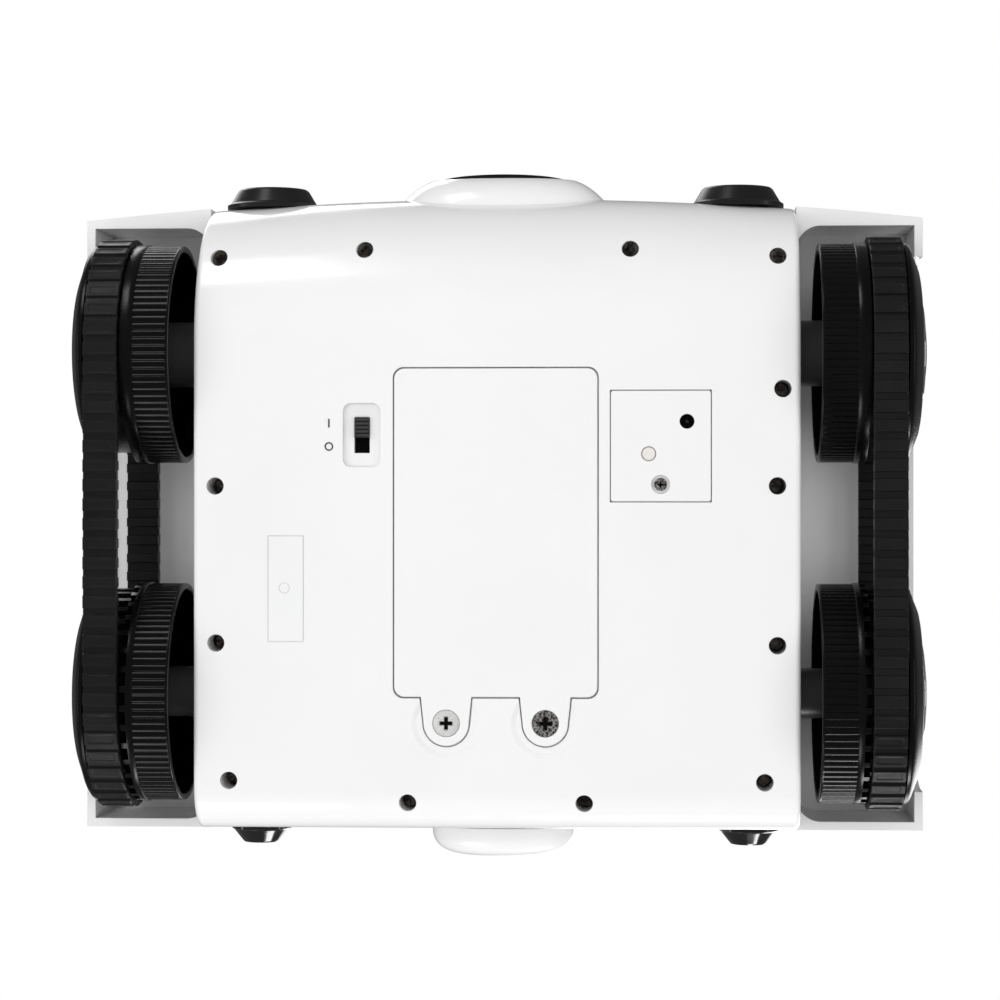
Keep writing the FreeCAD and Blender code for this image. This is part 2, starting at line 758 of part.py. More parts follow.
panel_window = box(
    "panel_window", ("panel_in + 2.4", "panel_out - 2.4"), ("panel_front + 2.4", "reset_y + 4"),
    ("hull_floor", "hull_floor + 8"),
)
panel_screw_bore = rod(
    "panel_screw_bore", "z", "1.2", "hull_floor", "hull_floor + 7", ("panel_screw_x", "panel_screw_y")
)
switch_recess = box(
    "switch_recess_block",
    ("switch_x - recess_wide / 2", "switch_x + recess_wide / 2"),
    ("switch_y - recess_long / 2", "switch_y + recess_long / 2"),
    ("hull_floor - 2", "hull_floor + recess_deep"),
)
switch_recess = rounded("switch_recess", switch_recess, upright, "2.2")
switch_slot = box(
    "switch_slot",
    ("switch_x - slot_wide / 2", "switch_x + slot_wide / 2"),
    ("switch_y - slot_long / 2", "switch_y + slot_long / 2"),
    ("hull_floor", "hull_floor + 6"),
)
axle_holes = [
    rod(f"axle_hole_{place}", "x", "axle_radius + 1", "-hull_half - 3", "hull_half + 3",
        (axle_y, axle_z))
    for place, axle_y in (("front", front_axle_y), ("rear", rear_axle_y))
]
middle_room = box(
    "axle_holes_keep_out", ("-hull_half + 6", "hull_half - 6"),
    ("-90", "90"), ("0", "hull_rim"),
)
axle_cut = cut("axle_holes", fuse("axle_holes_all", *axle_holes), middle_room)
lamp_seats = []
for side, sign in (("left", "-"), ("right", "")):
    lamp_seats += [
        rod(f"headlamp_seat_{side}", "y", "head_lamp_base + 0.1", "head_lamp_y - 8", "head_lamp_y",
            (f"{sign}head_lamp_x", "head_lamp_z")),
        rod(f"headlamp_hole_{side}", "y", "8.4", "head_lamp_y - 8", "head_lamp_y + 8",
            (f"{sign}head_lamp_x", "head_lamp_z")),
        rod(f"tail_lamp_hole_{side}", "y", "4.6", "rear_y - 5", "rear_y + 5",
            (f"{sign}tail_lamp_x", "tail_lamp_z")),
    ]
rear_cap_window = box("rear_cap_window", ("-14", "14"), ("rear_y - 4", "rear_y + 1"),
                      ("cap_z - 8", "cap_z + 8"))
visor_window = box(
    "visor_window", ("-visor_half + 3.5", "visor_half - 3.5"), ("nose_tip - 2", "nose_tip + 6"),
    ("nose_z - visor_tall / 2 + 2.5", "nose_z + visor_tall / 2 - 2.5"),
)

hull_shell = cut("hull_shell", fuse("hull_with_nose", hull_outer, nose_lower), hull_inner)
hull_solid = fuse(
    "hull_solid", hull_shell, posts_inside, bay_walls, *tab_posts, panel_frame, switch_frame,
    *board_posts,
)
bottom_hull = keep(cut(
    "bottom_hull", hull_solid, nose_hollow, *screw_wells, *screw_bores, bay_bay, cover_rebate,
    cover_rebate_mouth, *tab_dishes, *tab_bores, panel_rebate, panel_window, panel_screw_bore,
    switch_recess, switch_slot, axle_cut, *lamp_seats, rear_cap_window, visor_window,
))


# ---------------------------------------------------------------- top shell

def bell(share):
    """A smooth flat-topped hill, 1 in the middle and almost 0 beyond +-1."""
    return math.exp(-(share / 0.8) ** 4)


def skin(drop):
    """The shell's upper surface, lowered by drop, over the whole plan and a little beyond."""
    half = size("shell_half") + 2
    rows = []
    columns, lines = 33, 27
    for line in range(lines):
        y = size("front_y") - 3 + (size("rear_y") - size("front_y") + 6) * line / (lines - 1)
        row_points = []
        for column in range(columns):
            x = -half + 2 * half * column / (columns - 1)
            hill = bell(x / size("hood_half")) * bell((y - size("axle_mid_y")) / size("hood_length"))
            lean = 2.6 * (x / half) ** 2 + 2.0 * ((y - size("axle_mid_y")) / 90.0) ** 4
            row_points.append(Vec(x, y, size("deck_z") - drop - lean + size("hood_rise") * hill))
        rows.append(row_points)
    surface = Part.BSplineSurface()
    surface.interpolate(rows)
    return surface.toShape().extrude(Vec(0, 0, -60))


def bowed_solid(half, rear, low, inset):
    """A tall block with the rover's bowed front."""
    front = size("front_y")
    block = Part.makeBox(2 * half, rear - front + 5, 90.0, Vec(-half, front - 5, low))
    bow_radius = size("front_bow")
    bow = Part.makeCylinder(bow_radius - inset, 90.0, Vec(0, front + bow_radius, low))
    return block.common(bow)


def well(side):
    """One wheel well with rounded vertical corners."""
    inner = size("hull_half")
    outer = size("shell_half") - 2.4
    low, high = size("well_front"), size("well_rear")
    hollow = Part.makeBox(outer - inner, high - low, 90.0, Vec(inner, low, 0))
    hollow = hollow.makeFillet(size("well_round"), [
        edge for edge in hollow.Edges if upright(edge) and abs(edge.CenterOfMass.x - inner) < 0.1
    ])
    return hollow if side > 0 else hollow.mirror(Vec(), Vec(1, 0, 0))


def side_arch():
    """The opening through both fender sides, rounded at its upper corners."""
    length = size("arch_rear") - size("arch_front")
    half = size("shell_half") + 5
    block = Part.makeBox(2 * half, length, size("arch_z"), Vec(-half, size("arch_front"), 0))
    top = size("arch_z")
    block = block.makeFillet(size("arch_round"), [
        edge for edge in block.Edges
        if edge.BoundBox.XLength > half and abs(edge.CenterOfMass.z - top) < 0.1
    ])
    inner = size("shell_half") - 3
    return block.cut(Part.makeBox(2 * inner, 400, 200, Vec(-inner, -200, -50)))


def shell_shape():
    wall = size("wall")
    outer = bowed_solid(size("shell_half"), size("rear_y"), size("skirt_z"), 0.0).common(skin(0.0))
    crest = size("deck_z") - 8
    outer = outer.makeFillet(size("shell_round"), [
        edge for edge in outer.Edges
        if edge.BoundBox.ZMin > crest and not upright(edge)
    ])
    under = skin(wall + 0.4)
    shape = outer.fuse(nose_outer.common(above_seam))
    rim = seam_z + size("seam")
    middle = bowed_solid(size("hull_half") - wall, size("rear_y") - wall, rim - 20.0, wall).common(under)
    shape = shape.cut([middle, nose_inner])
    for side in (-1, 1):
        shape = shape.cut(well(side).common(under))
    belly = bowed_solid(size("hull_half") + 0.02, size("rear_y") + 4, rim - 90.0, -12.0)
    shape = shape.cut([belly, side_arch()])
    lugs = [
        Part.makeCylinder(size("post_radius"), 44.0, Vec(x, y, rim)).common(under)
        for x, y in hull_screws_at
    ]
    speaker_ring = Part.makeCylinder(16.0, 12.0, Vec(0, 30, 94)).cut(
        Part.makeCylinder(14.3, 12.0, Vec(0, 30, 94))).common(under)
    grille = [
        Part.makeCylinder(0.8, 20.0, Vec(
            ring * 3.4 * math.cos(2 * math.pi * hole / (6 * ring)),
            30 + ring * 3.4 * math.sin(2 * math.pi * hole / (6 * ring)), 90))
        for ring in (1, 2, 3) for hole in range(6 * ring)
    ] + [Part.makeCylinder(0.8, 20.0, Vec(0, 30, 90))]
    return shape.fuse(lugs + [speaker_ring]).cut(grille)


shell_blank = fixed("shell_blank", shell_shape())
shell_bores = [
    rod(f"shell_bore_{number}", "z", "screw_core + 0.1", "post_top", "post_top + 10", place)
    for number, place in enumerate(hull_screws_at)
]
top_shell = keep(cut(
    "top_shell", shell_blank, *lamp_seats, rear_cap_window, visor_window, *shell_bores
))


# ---------------------------------------------------------------- screws

def screw(x, y, seat, head_radius, head_tall, core, length):
    """A cross-recess screw driven upwards, its head below the seat."""
    head = Part.makeCylinder(head_radius, head_tall, Vec(x, y, seat - head_tall))
    head = head.makeFillet(head_tall * 0.45, [
        edge for edge in head.Edges if abs(edge.CenterOfMass.z - seat + head_tall) < 0.01
    ])
    shank = Part.makeCylinder(core, length, Vec(x, y, seat))
    arm = head_radius * 0.62
    blade = head_radius * 0.17
    deep = head_tall * 0.6
    cross = [
        Part.makeBox(2 * wide, 2 * tall, deep + 1, Vec(x - wide, y - tall, seat - head_tall - 1))
        for wide, tall in ((arm, blade), (blade, arm))
    ]
    return head.fuse(shank).cut(cross)


keep(fixed("hull_screws", Part.makeCompound([
    screw(x, y, size("screw_seat"), size("screw_head"), 1.8, size("screw_core"), 34.0)
    for x, y in hull_screws_at
])))
keep(fixed("battery_cover_screws", Part.makeCompound([
    screw(side * size("tab_x"), size("tab_screw_y"), floor_z + 1.2, 3.65, 1.1, 1.4, 9.0)
    for side in (-1, 1)
])))
keep(fixed("service_panel_screw", screw(
    size("panel_screw_x"), size("panel_screw_y"), floor_z + 1.1, 1.8, 0.9, 1.1, 4.5,
)))


# ---------------------------------------------------------------- battery bay

cover_plate = cover_outline(0).extrude(Vec(0, 0, size("cover_gauge")))
cover_plate = cover_plate.makeFillet(0.35, [
    edge for edge in cover_plate.Edges if edge.BoundBox.ZMax < 0.01
])
cover_blank = fixed("cover_blank", cover_plate.translated(Vec(0, 0, floor_z)))
cover_holes = []
for side, sign in (("left", "-"), ("right", "")):
    place = (f"{sign}tab_x", "tab_screw_y")
    cover_holes += [
        rod(f"cover_hole_{side}", "z", "1.6", "hull_floor - 1", "hull_floor + 3", place),
        rod(f"cover_sink_{side}", "z", "3.8", "hull_floor - 1", "hull_floor + 1.2", place),
    ]
keep(cut("battery_cover", cover_blank, *cover_holes))

cell_z = "hull_floor + 10.2"


def cell_y(number):
    return f"(bay_front + bay_rear) / 2 + ({number - (CELLS - 1) / 2}) * cell_pitch"


cell_solids = []
contact_solids = []
for number in range(CELLS):
    ends = (1, -1) if number % 2 else (-1, 1)
    y, z = size(cell_y(number)), size(cell_z)
    half = size("cell_length") / 2
    can = Part.makeCylinder(size("cell_radius"), 2 * half, Vec(-half, y, z), Vec(1, 0, 0))
    button = Part.makeCylinder(2.7, 1.2, Vec(ends[0] * half, y, z), Vec(ends[0], 0, 0))
    cell_solids.append(can.fuse(button))
    plate_at = size("bay_half") - 0.4
    for end in (-1, 1):
        plate = Part.makeBox(0.3, 11.0, 10.0, Vec(end * plate_at - 0.15, y - 5.5, z - 5.0))
        if end == ends[1]:
            spring = Part.makeCone(4.2, 2.8, plate_at - half - 0.25, Vec(end * (plate_at - 0.1), y, z),
                                   Vec(-end, 0, 0))
            plate = plate.fuse(spring)
        contact_solids.append(plate)
keep(fixed("battery_cells", Part.makeCompound(cell_solids)))
keep(fixed("battery_contacts", Part.makeCompound(contact_solids)))


# ---------------------------------------------------------------- underside controls

panel = padded(
    "service_panel", "hull_floor",
    rectangle("panel_in", "panel_out", "panel_front", "panel_rear"), "panel_gauge",
    (
        ("jack_x", "jack_y", "jack_radius + 0.05"),
        ("reset_x", "reset_y", "reset_radius + 0.15"),
        ("panel_screw_x", "panel_screw_y", "1.2"),
    ),
)
soften(panel, "service_panel_corners", upright, "0.75")
sink = sketch_on(panel, "service_panel_sink", "XY_Plane", "hull_floor")
circle(sink, "panel_screw_x", "panel_screw_y", "2.6")
sink_cut = panel.newObject("PartDesign::Pocket", "service_panel_sink_cut")
sink_cut.Profile = sink
sink_cut.Reversed = True
bind(sink_cut, "Length", "1.1")
keep(panel)

jack_block = box("dc_jack_block", ("jack_x - 4", "jack_x + 4"), ("jack_y - 4", "jack_y + 4"),
                 ("hull_floor + panel_gauge + 0.05", "hull_floor + 12"))
jack_bore = rod("dc_jack_bore", "z", "jack_radius", "hull_floor", "hull_floor + 11",
                ("jack_x", "jack_y"))
jack_pin = rod("dc_jack_pin", "z", "0.45", "hull_floor + 2.4", "hull_floor + 11.5",
               ("jack_x", "jack_y"))
keep(fuse("dc_jack", cut("dc_jack_hollow", jack_block, jack_bore), jack_pin))
service_plate = box("service_plate", ("panel_in + 4", "panel_out - 2"),
                    ("panel_front + 3", "reset_y + 4"), ("hull_floor + 12.05", "hull_floor + 13.5"))
reset_switch = box("reset_switch", ("reset_x - 2.5", "reset_x + 2.5"),
                   ("reset_y - 2.5", "reset_y + 2.5"), ("hull_floor + 3.9", "hull_floor + 12.05"))
keep(fuse("service_board", service_plate, reset_switch))
keep(placed(turned("reset_button", (
    ("0.1", "0"),
    ("0.1", "reset_radius - 0.3"),
    ("0.4", "reset_radius"),
    ("2.1", "reset_radius"),
    ("2.1", "reset_radius + 0.9"),
    ("3.1", "reset_radius + 0.9"),
    ("3.1", "0"),
), "z"), "reset_x", "reset_y", "hull_floor"))

knob_y = "switch_y - slot_long / 2 + knob_long / 2 + 0.1"
knob_stem = box(
    "switch_knob_stem", ("switch_x - knob_wide / 2", "switch_x + knob_wide / 2"),
    (f"{knob_y} - knob_long / 2", f"{knob_y} + knob_long / 2"),
    ("hull_floor + 0.4", "hull_floor + 4"),
)
knob_plate = box(
    "switch_knob_plate", ("switch_x - 4.3", "switch_x + 4.3"),
    (f"{knob_y} - 7.5", f"{knob_y} + 7.5"), ("hull_floor + 3.6", "hull_floor + 4.6"),
)
knob_grooves = [
    box(
        f"switch_knob_groove_{number}", ("switch_x - 3", "switch_x + 3"),
        (f"{knob_y} + {offset} - 0.25", f"{knob_y} + {offset} + 0.25"),
        ("hull_floor", "hull_floor + 0.9"),
    )
    for number, offset in enumerate((-1.65, -0.55, 0.55, 1.65))
]
keep(cut("switch_knob", fuse("switch_knob_blank", knob_stem, knob_plate), *knob_grooves))
switch_case = box("switch_case", ("switch_x - 6.2", "switch_x + 6.2"),
                  ("switch_y - 12", "switch_y + 12"), ("hull_floor + 3.42", "hull_floor + 9"))
switch_room = box("switch_room", ("switch_x - 4.7", "switch_x + 4.7"),
                  ("switch_y - 10", "switch_y + 10"), ("hull_floor + 3", "hull_floor + 5"))
keep(cut("switch_body", switch_case, switch_room))

label = padded(
    "blank_label", "hull_floor - label_gauge",
    rectangle("label_out", "label_in", "label_front", "label_rear"), "label_gauge",
)
keep(soften(label, "blank_label_corners", upright, "0.6"))


# ---------------------------------------------------------------- lamps

def lamp_pair(name, corners, x, y, z, toward):
    right = placed(turned(f"{name}_right", corners, toward), x, y, z)
    keep(right)
    keep(mirrored(f"{name}_left", right))


def lamp_lenses(name, corners, x, y, z, toward):
    """Both lenses of a kind, as separate solids of one node."""
    right = placed(turned(f"{name}_master", corners, toward), x, y, z)
    left = mirrored(f"{name}_mirror", right)
    doc.recompute()
    keep(fixed(name, Part.makeCompound([right.Shape, left.Shape])))


lamp_pair("headlamp_bezel", (
    ("-5", "6.9"),
    ("-5", "8.3"),
    ("0", "8.3"),
    ("0", "head_lamp_base"),
    ("1.1", "head_lamp_base"),
    ("1.6", "head_lamp_base - 0.9"),
    ("head_lamp_long - 0.5", "head_lamp_mouth + 0.6"),
    ("head_lamp_long", "head_lamp_mouth"),
    ("head_lamp_long", "head_lamp_mouth - 0.9"),
    ("1", "6.9"),
), "head_lamp_x", "head_lamp_y", "head_lamp_z", "-y")
lamp_lenses("headlamp_lenses", (
    ("-1.5", "0"),
    ("-1.5", "6.8"),
    ("0.3", "6.8"),
    ("1.5", "5.0"),
    ("2.1", "2.6"),
    ("2.3", "0"),
), "head_lamp_x", "head_lamp_y", "head_lamp_z", "-y")
lamp_pair("tail_lamp_bezel", (
    ("-4", "3.2"),
    ("-4", "4.5"),
    ("0", "4.5"),
    ("0", "tail_lamp_base"),
    ("1.3", "tail_lamp_base"),
    ("1.7", "tail_lamp_base - 0.6"),
    ("tail_lamp_long - 0.4", "tail_lamp_mouth + 0.4"),
    ("tail_lamp_long", "tail_lamp_mouth"),
    ("tail_lamp_long", "tail_lamp_mouth - 0.9"),
    ("1", "3.2"),
), "tail_lamp_x", "rear_y", "tail_lamp_z", "y")
lamp_lenses("tail_lamp_lenses", (
    ("-3", "0"),
    ("-3", "3.1"),
    ("1", "3.1"),
    ("2.2", "2.3"),
    ("2.8", "0"),
), "tail_lamp_x", "rear_y", "tail_lamp_z", "y")


# ---------------------------------------------------------------- camera and rear cap

visor_blank = box("visor_blank", ("-visor_half", "visor_half"), ("visor_front", "nose_tip"),
                  ("nose_z - visor_tall / 2", "nose_z + visor_tall / 2"))
visor_blank = rounded(
    "visor_rounded", visor_blank,
    lambda edge: edge.BoundBox.XLength < 0.01 and edge.BoundBox.ZLength < 0.01, "10.5",
)
visor_curve = rod("visor_curve", "z", "visor_bow", "hull_floor", "deck_z + hood_rise",
                  ("0", "visor_front + visor_bow"))
keep(common("camera_visor", visor_blank, visor_curve))

barrel = rod("camera_barrel", "x", "head_radius", "-head_half", "head_half", ("pivot_y", "nose_z"))
snout = rod("camera_snout", "y", "5.6", "pivot_y - 12", "pivot_y", ("0", "nose_z"))
pins = rod("camera_pins", "x", "pin_radius", "-head_half - 3.3", "head_half + 3.3",
           ("pivot_y", "nose_z"))
lens_seat = rod("camera_lens_seat", "y", "4.6", "pivot_y - 13", "pivot_y - 10.6", ("0", "nose_z"))
keep(cut("camera_head", fuse("camera_head_blank", barrel, snout, pins), lens_seat))
keep(placed(turned("camera_lens", (
    ("10.6", "0"),
    ("10.6", "4.55"),
    ("11.6", "4.55"),
    ("12.3", "3.4"),
    ("12.7", "1.8"),
    ("12.8", "0"),
), "-y"), y="pivot_y", z="nose_z"))

arms = [
    box(f"camera_arm_{side}", (low, high), ("pivot_y - 4", "pivot_y + 16"),
        ("nose_z - 6", "nose_z + 6"))
    for side, low, high in (
        ("left", "-head_half - 3.4", "-head_half - 1"), ("right", "head_half + 1", "head_half + 3.4"),
    )
]
back_plate = box("camera_back_plate", ("-head_half - 3.4", "head_half + 3.4"),
                 ("pivot_y + 14", "pivot_y + 16"), ("nose_z - 10", "nose_z + 10"))
foot = box("camera_foot", ("-8", "8"), ("pivot_y + 14", "pivot_y + 16.5"),
           ("hull_floor + 5.2", "nose_z - 6"))
pin_holes = rod("camera_pin_holes", "x", "pin_radius + shaft_play", "-head_half - 5",
                "head_half + 5", ("pivot_y", "nose_z"))
keep(cut("camera_bracket", fuse("camera_bracket_blank", *arms, back_plate, foot), pin_holes))
keep(box("tilt_motor", ("head_half + 3.5", "head_half + 13"), ("pivot_y + 1", "pivot_y + 15"),
         ("nose_z - 6", "nose_z + 6")))

rear_face = size("rear_y")
cap_span = size("cap_rear") - rear_face
cap_form = pod(size("cap_z"), [
    (rear_face + share * cap_span, wide, tall)
    for share, wide, tall in (
        (0.0, 21.0, 12.5), (0.34, 20.7, 12.2), (0.62, 19.4, 11.3),
        (0.84, 16.4, 9.4), (0.96, 11.6, 6.6), (1.0, 7.0, 3.8),
    )
])
cap_spigot = box("rear_cap_spigot", ("-13.8", "13.8"), ("rear_y - 2", "rear_y + 1"),
                 ("cap_z - 7.8", "cap_z + 7.8"))
keep(fuse("rear_cap", fixed("rear_cap_form", cap_form), cap_spigot))


# ---------------------------------------------------------------- electronics

board_z = "bay_top + 3.65"
board = padded(
    "main_board", board_z, rectangle("-28.5", "28.5", "-38", "46"), "1.6",
    ((("-24"), "-32", "1.1"), ("24", "-32", "1.1"), ("-24", "40", "1.1"), ("24", "40", "1.1")),
)
keep(soften(board, "main_board_corners", upright, "2"))
board_top = size(board_z) + 1.6
keep(fixed("board_components", Part.makeCompound([
    Part.makeBox(wide, long, tall, Vec(x - wide / 2, y - long / 2, board_top + 0.02))
    for x, y, wide, long, tall in (
        (2, 12, 14, 14, 1.2), (-17, 14, 8, 12, 1.0), (18, 8, 6, 9, 1.6), (-16, -14, 7, 7, 0.9),
        (18, 30, 8, 6, 5.5), (-18, 31, 8, 6, 5.5), (0, 41, 20, 5, 5.0), (8, -6, 5, 5, 3.0),
    )
] + [
    Part.makeCylinder(3.2, 7.0, Vec(x, y, board_top + 0.02)) for x, y in ((-6, 31), (6, 31), (20, -8))
] + [
    Part.makeBox(18, 14, 2.6, Vec(-9, -34, board_top + 0.02)).fuse(
        Part.makeBox(2.4, 2.4, 20, Vec(-9, -34, board_top + 2.0)))
])))
keep(placed(turned("speaker", (
    ("0", "0"),
    ("0", "8"),
    ("3.6", "8"),
    ("3.6", "12.4"),
    ("6", "14.1"),
    ("7.2", "14.1"),
    ("7.2", "12.8"),
    ("5.6", "8"),
    ("6.4", "3.6"),
    ("6.8", "0"),
), "z"), "0", "30", "deck_z + 14.2"))


# ---------------------------------------------------------------- drive

module = size("gear_module")
far_gap = f"(gear_module * {(AXLE_GEAR_TEETH + CLUSTER_SMALL_TEETH) / 2} + gear_play)"
near_gap = f"(gear_module * {(CLUSTER_LARGE_TEETH + PINION_TEETH) / 2} + gear_play)"
cluster_y = f"({rear_axle_y} - {far_gap})"
motor_y = f"({cluster_y} - {near_gap})"


def gear(teeth, low, high, y, between):
    """A spur gear round an X axis from x = low to high; between turns it by half a tooth."""
    pitch_half = math.pi * module / 4 - size("gear_play") / 2
    lean = math.tan(math.radians(20))
    pitch = module * teeth / 2
    levels = ((pitch - 1.25 * module, pitch_half + 0.85 * module * lean),
              (pitch, pitch_half),
              (pitch + module, pitch_half - module * lean))
    centre_y, centre_z = size(y), size(axle_z)
    points = []
    for tooth in range(teeth):
        middle = 2 * math.pi * (tooth + (0.5 if between else 0)) / teeth
        flank = [(radius, -half / radius) for radius, half in levels]
        flank += [(radius, half / radius) for radius, half in reversed(levels)]
        for radius, turn in flank:
            points.append(Vec(low, centre_y + radius * math.cos(middle + turn),
                              centre_z + radius * math.sin(middle + turn)))
    return Part.Face(Part.makePolygon(points + points[:1])).extrude(Vec(high - low, 0, 0))


def spindle(radius, low, high, y):
    return Part.makeCylinder(radius, high - low, Vec(low, size(y), size(axle_z)), Vec(1, 0, 0))


def drive_side():
    """Motor, gearbox and gears of the right side, and their mirror images."""
    inner = size("box_in")
    outer = size("box_out")
    axle_gear = gear(AXLE_GEAR_TEETH, inner + 7.6, inner + 11.6, rear_axle_y, False)
    axle_gear = axle_gear.fuse(spindle(4, inner + 6.9, inner + 12.6, rear_axle_y))
    axle_gear = axle_gear.cut(spindle(size("axle_radius"), inner, outer, rear_axle_y))
    cluster = gear(CLUSTER_LARGE_TEETH, inner + 3, inner + 6.4, cluster_y, False).fuse([
        gear(CLUSTER_SMALL_TEETH, inner + 6.4, inner + 12.8, cluster_y, True),
        spindle(1.5, inner + 0.2, outer - 0.2, cluster_y),
    ])
    pinion = gear(PINION_TEETH, inner + 2.4, inner + 6.9, motor_y, True).fuse(
        spindle(1.0, inner - 5.8, inner + 7.4, motor_y))
    right = [fixed("axle_gear_right", axle_gear), fixed("cluster_gear_right", cluster),
             fixed("motor_pinion_right", pinion)]
    motor = placed(turned("drive_motor_right", (
        ("motor_in", "0"),
        ("motor_in", "2.5"),
        ("motor_in + 0.8", "2.5"),
        ("motor_in + 0.8", "motor_radius"),
        ("box_in - 0.1", "motor_radius"),
        ("box_in - 0.1", "1.06"),
        ("box_in - 6", "1.06"),
        ("box_in - 6", "0"),
    )), y=motor_y, z=axle_z)
    case = box("gearbox_case", ("box_in", "box_out"), ("box_front", "box_rear"),
               ("hull_floor + wall + 0.05", "box_top"))
    room = box("gearbox_room", ("box_in + box_wall", "box_out - box_wall"),
               ("box_front + box_wall", "box_rear - box_wall"),
               ("hull_floor + wall + box_wall", "box_top - box_wall"))
    holes = [
        rod("gearbox_axle_hole", "x", "axle_radius + shaft_play", "box_in - 1", "box_out + 1",
            (rear_axle_y, axle_z)),
        rod("gearbox_cluster_hole", "x", "1.5 + shaft_play", "box_in - 1", "box_out + 1",
            (cluster_y, axle_z)),
        rod("gearbox_pinion_hole", "x", "4.2", "box_in - 1", "box_in + box_wall + 1",
            (motor_y, axle_z)),
    ]
    right += [motor, cut("gearbox_right", case, room, *holes)]
    for piece in right:
        keep(piece)
        keep(mirrored(piece.Name.replace("right", "left"), piece))


drive_side()


# ---------------------------------------------------------------- check and write

def main():
    doc.recompute()
    broken = [
        item.Label for item in doc.Objects
        if "Invalid" in item.State or "Error" in item.State
    ]
    empty = [piece.Label for piece in kept if piece.Shape.isNull() or not piece.Shape.isValid()]
    if broken or empty:
        raise RuntimeError(f"failed objects: {broken}; bad shapes: {empty}")
    os.makedirs("parts", exist_ok=True)
    for piece in kept:
        piece.Shape.exportStep(f"parts/{piece.Label}.step")


main()
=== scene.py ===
"""Visual model of the tracked camera rover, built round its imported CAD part."""

import json
import math

import bmesh
import bpy
from mathutils import Matrix, Vector


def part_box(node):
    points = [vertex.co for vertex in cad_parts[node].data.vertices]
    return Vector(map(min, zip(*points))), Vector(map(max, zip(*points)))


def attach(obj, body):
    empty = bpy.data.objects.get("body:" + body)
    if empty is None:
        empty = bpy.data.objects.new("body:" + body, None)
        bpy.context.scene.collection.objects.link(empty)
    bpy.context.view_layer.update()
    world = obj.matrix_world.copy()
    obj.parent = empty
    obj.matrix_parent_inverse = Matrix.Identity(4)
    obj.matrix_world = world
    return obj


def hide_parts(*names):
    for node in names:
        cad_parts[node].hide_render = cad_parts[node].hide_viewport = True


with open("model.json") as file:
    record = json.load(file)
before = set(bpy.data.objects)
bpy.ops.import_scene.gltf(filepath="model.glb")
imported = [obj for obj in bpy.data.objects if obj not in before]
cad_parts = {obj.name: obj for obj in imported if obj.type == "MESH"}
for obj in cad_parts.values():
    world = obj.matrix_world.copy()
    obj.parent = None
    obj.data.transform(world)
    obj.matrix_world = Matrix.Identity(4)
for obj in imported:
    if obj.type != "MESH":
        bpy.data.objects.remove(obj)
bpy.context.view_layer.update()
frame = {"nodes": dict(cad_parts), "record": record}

MM = 0.001
TURN = 2 * math.pi
SIDES = {"left": -1, "right": 1}

# Running gear, in millimetres, as the CAD part has it.
DRUM_IN = 90.0
RIB_OUT = 100.0
DRUM_OUT = 113.6
DRUM_RADIUS = 31.0
DRUM_BORE = 29.2
SHOULDER_RADIUS = 31.3
SHOULDER_OUT = 103.5
SEAT_RADIUS = {"front": 28.1, "rear": 29.5}
NOTCH_RADIUS = 28.0
NOTCH_IN = 101.7
NOTCH_WIDTH = 3.4
HUB_IN = 100.4
HUB_RADIUS = 6.0
WEB_IN = 108.5
AXLE_RADIUS = 2.0
DISC_EDGE = 31.3
DISC_OUT = 118.3
CAP_SEAT = 117.0
CAP_RADIUS = 13.0
CAP_OUT = 120.5
RING_RADIUS = 14.6
PITCH_RADIUS = 30.7
BAND_GAUGE = 1.6
PAD_DEPTH = 1.4
PAD_LENGTH = 3.5
LUG_LENGTH = 2.7
TRACK_IN = 103.9
TRACK_OUT = 113.2
SPAN_PITCHES = 18
TRACK_PITCH = math.pi * PITCH_RADIUS / SPAN_PITCHES
RIBS = 90
RIB_DEPTH = 0.42
NOTCHES = 36


# ---------------------------------------------------------------- materials

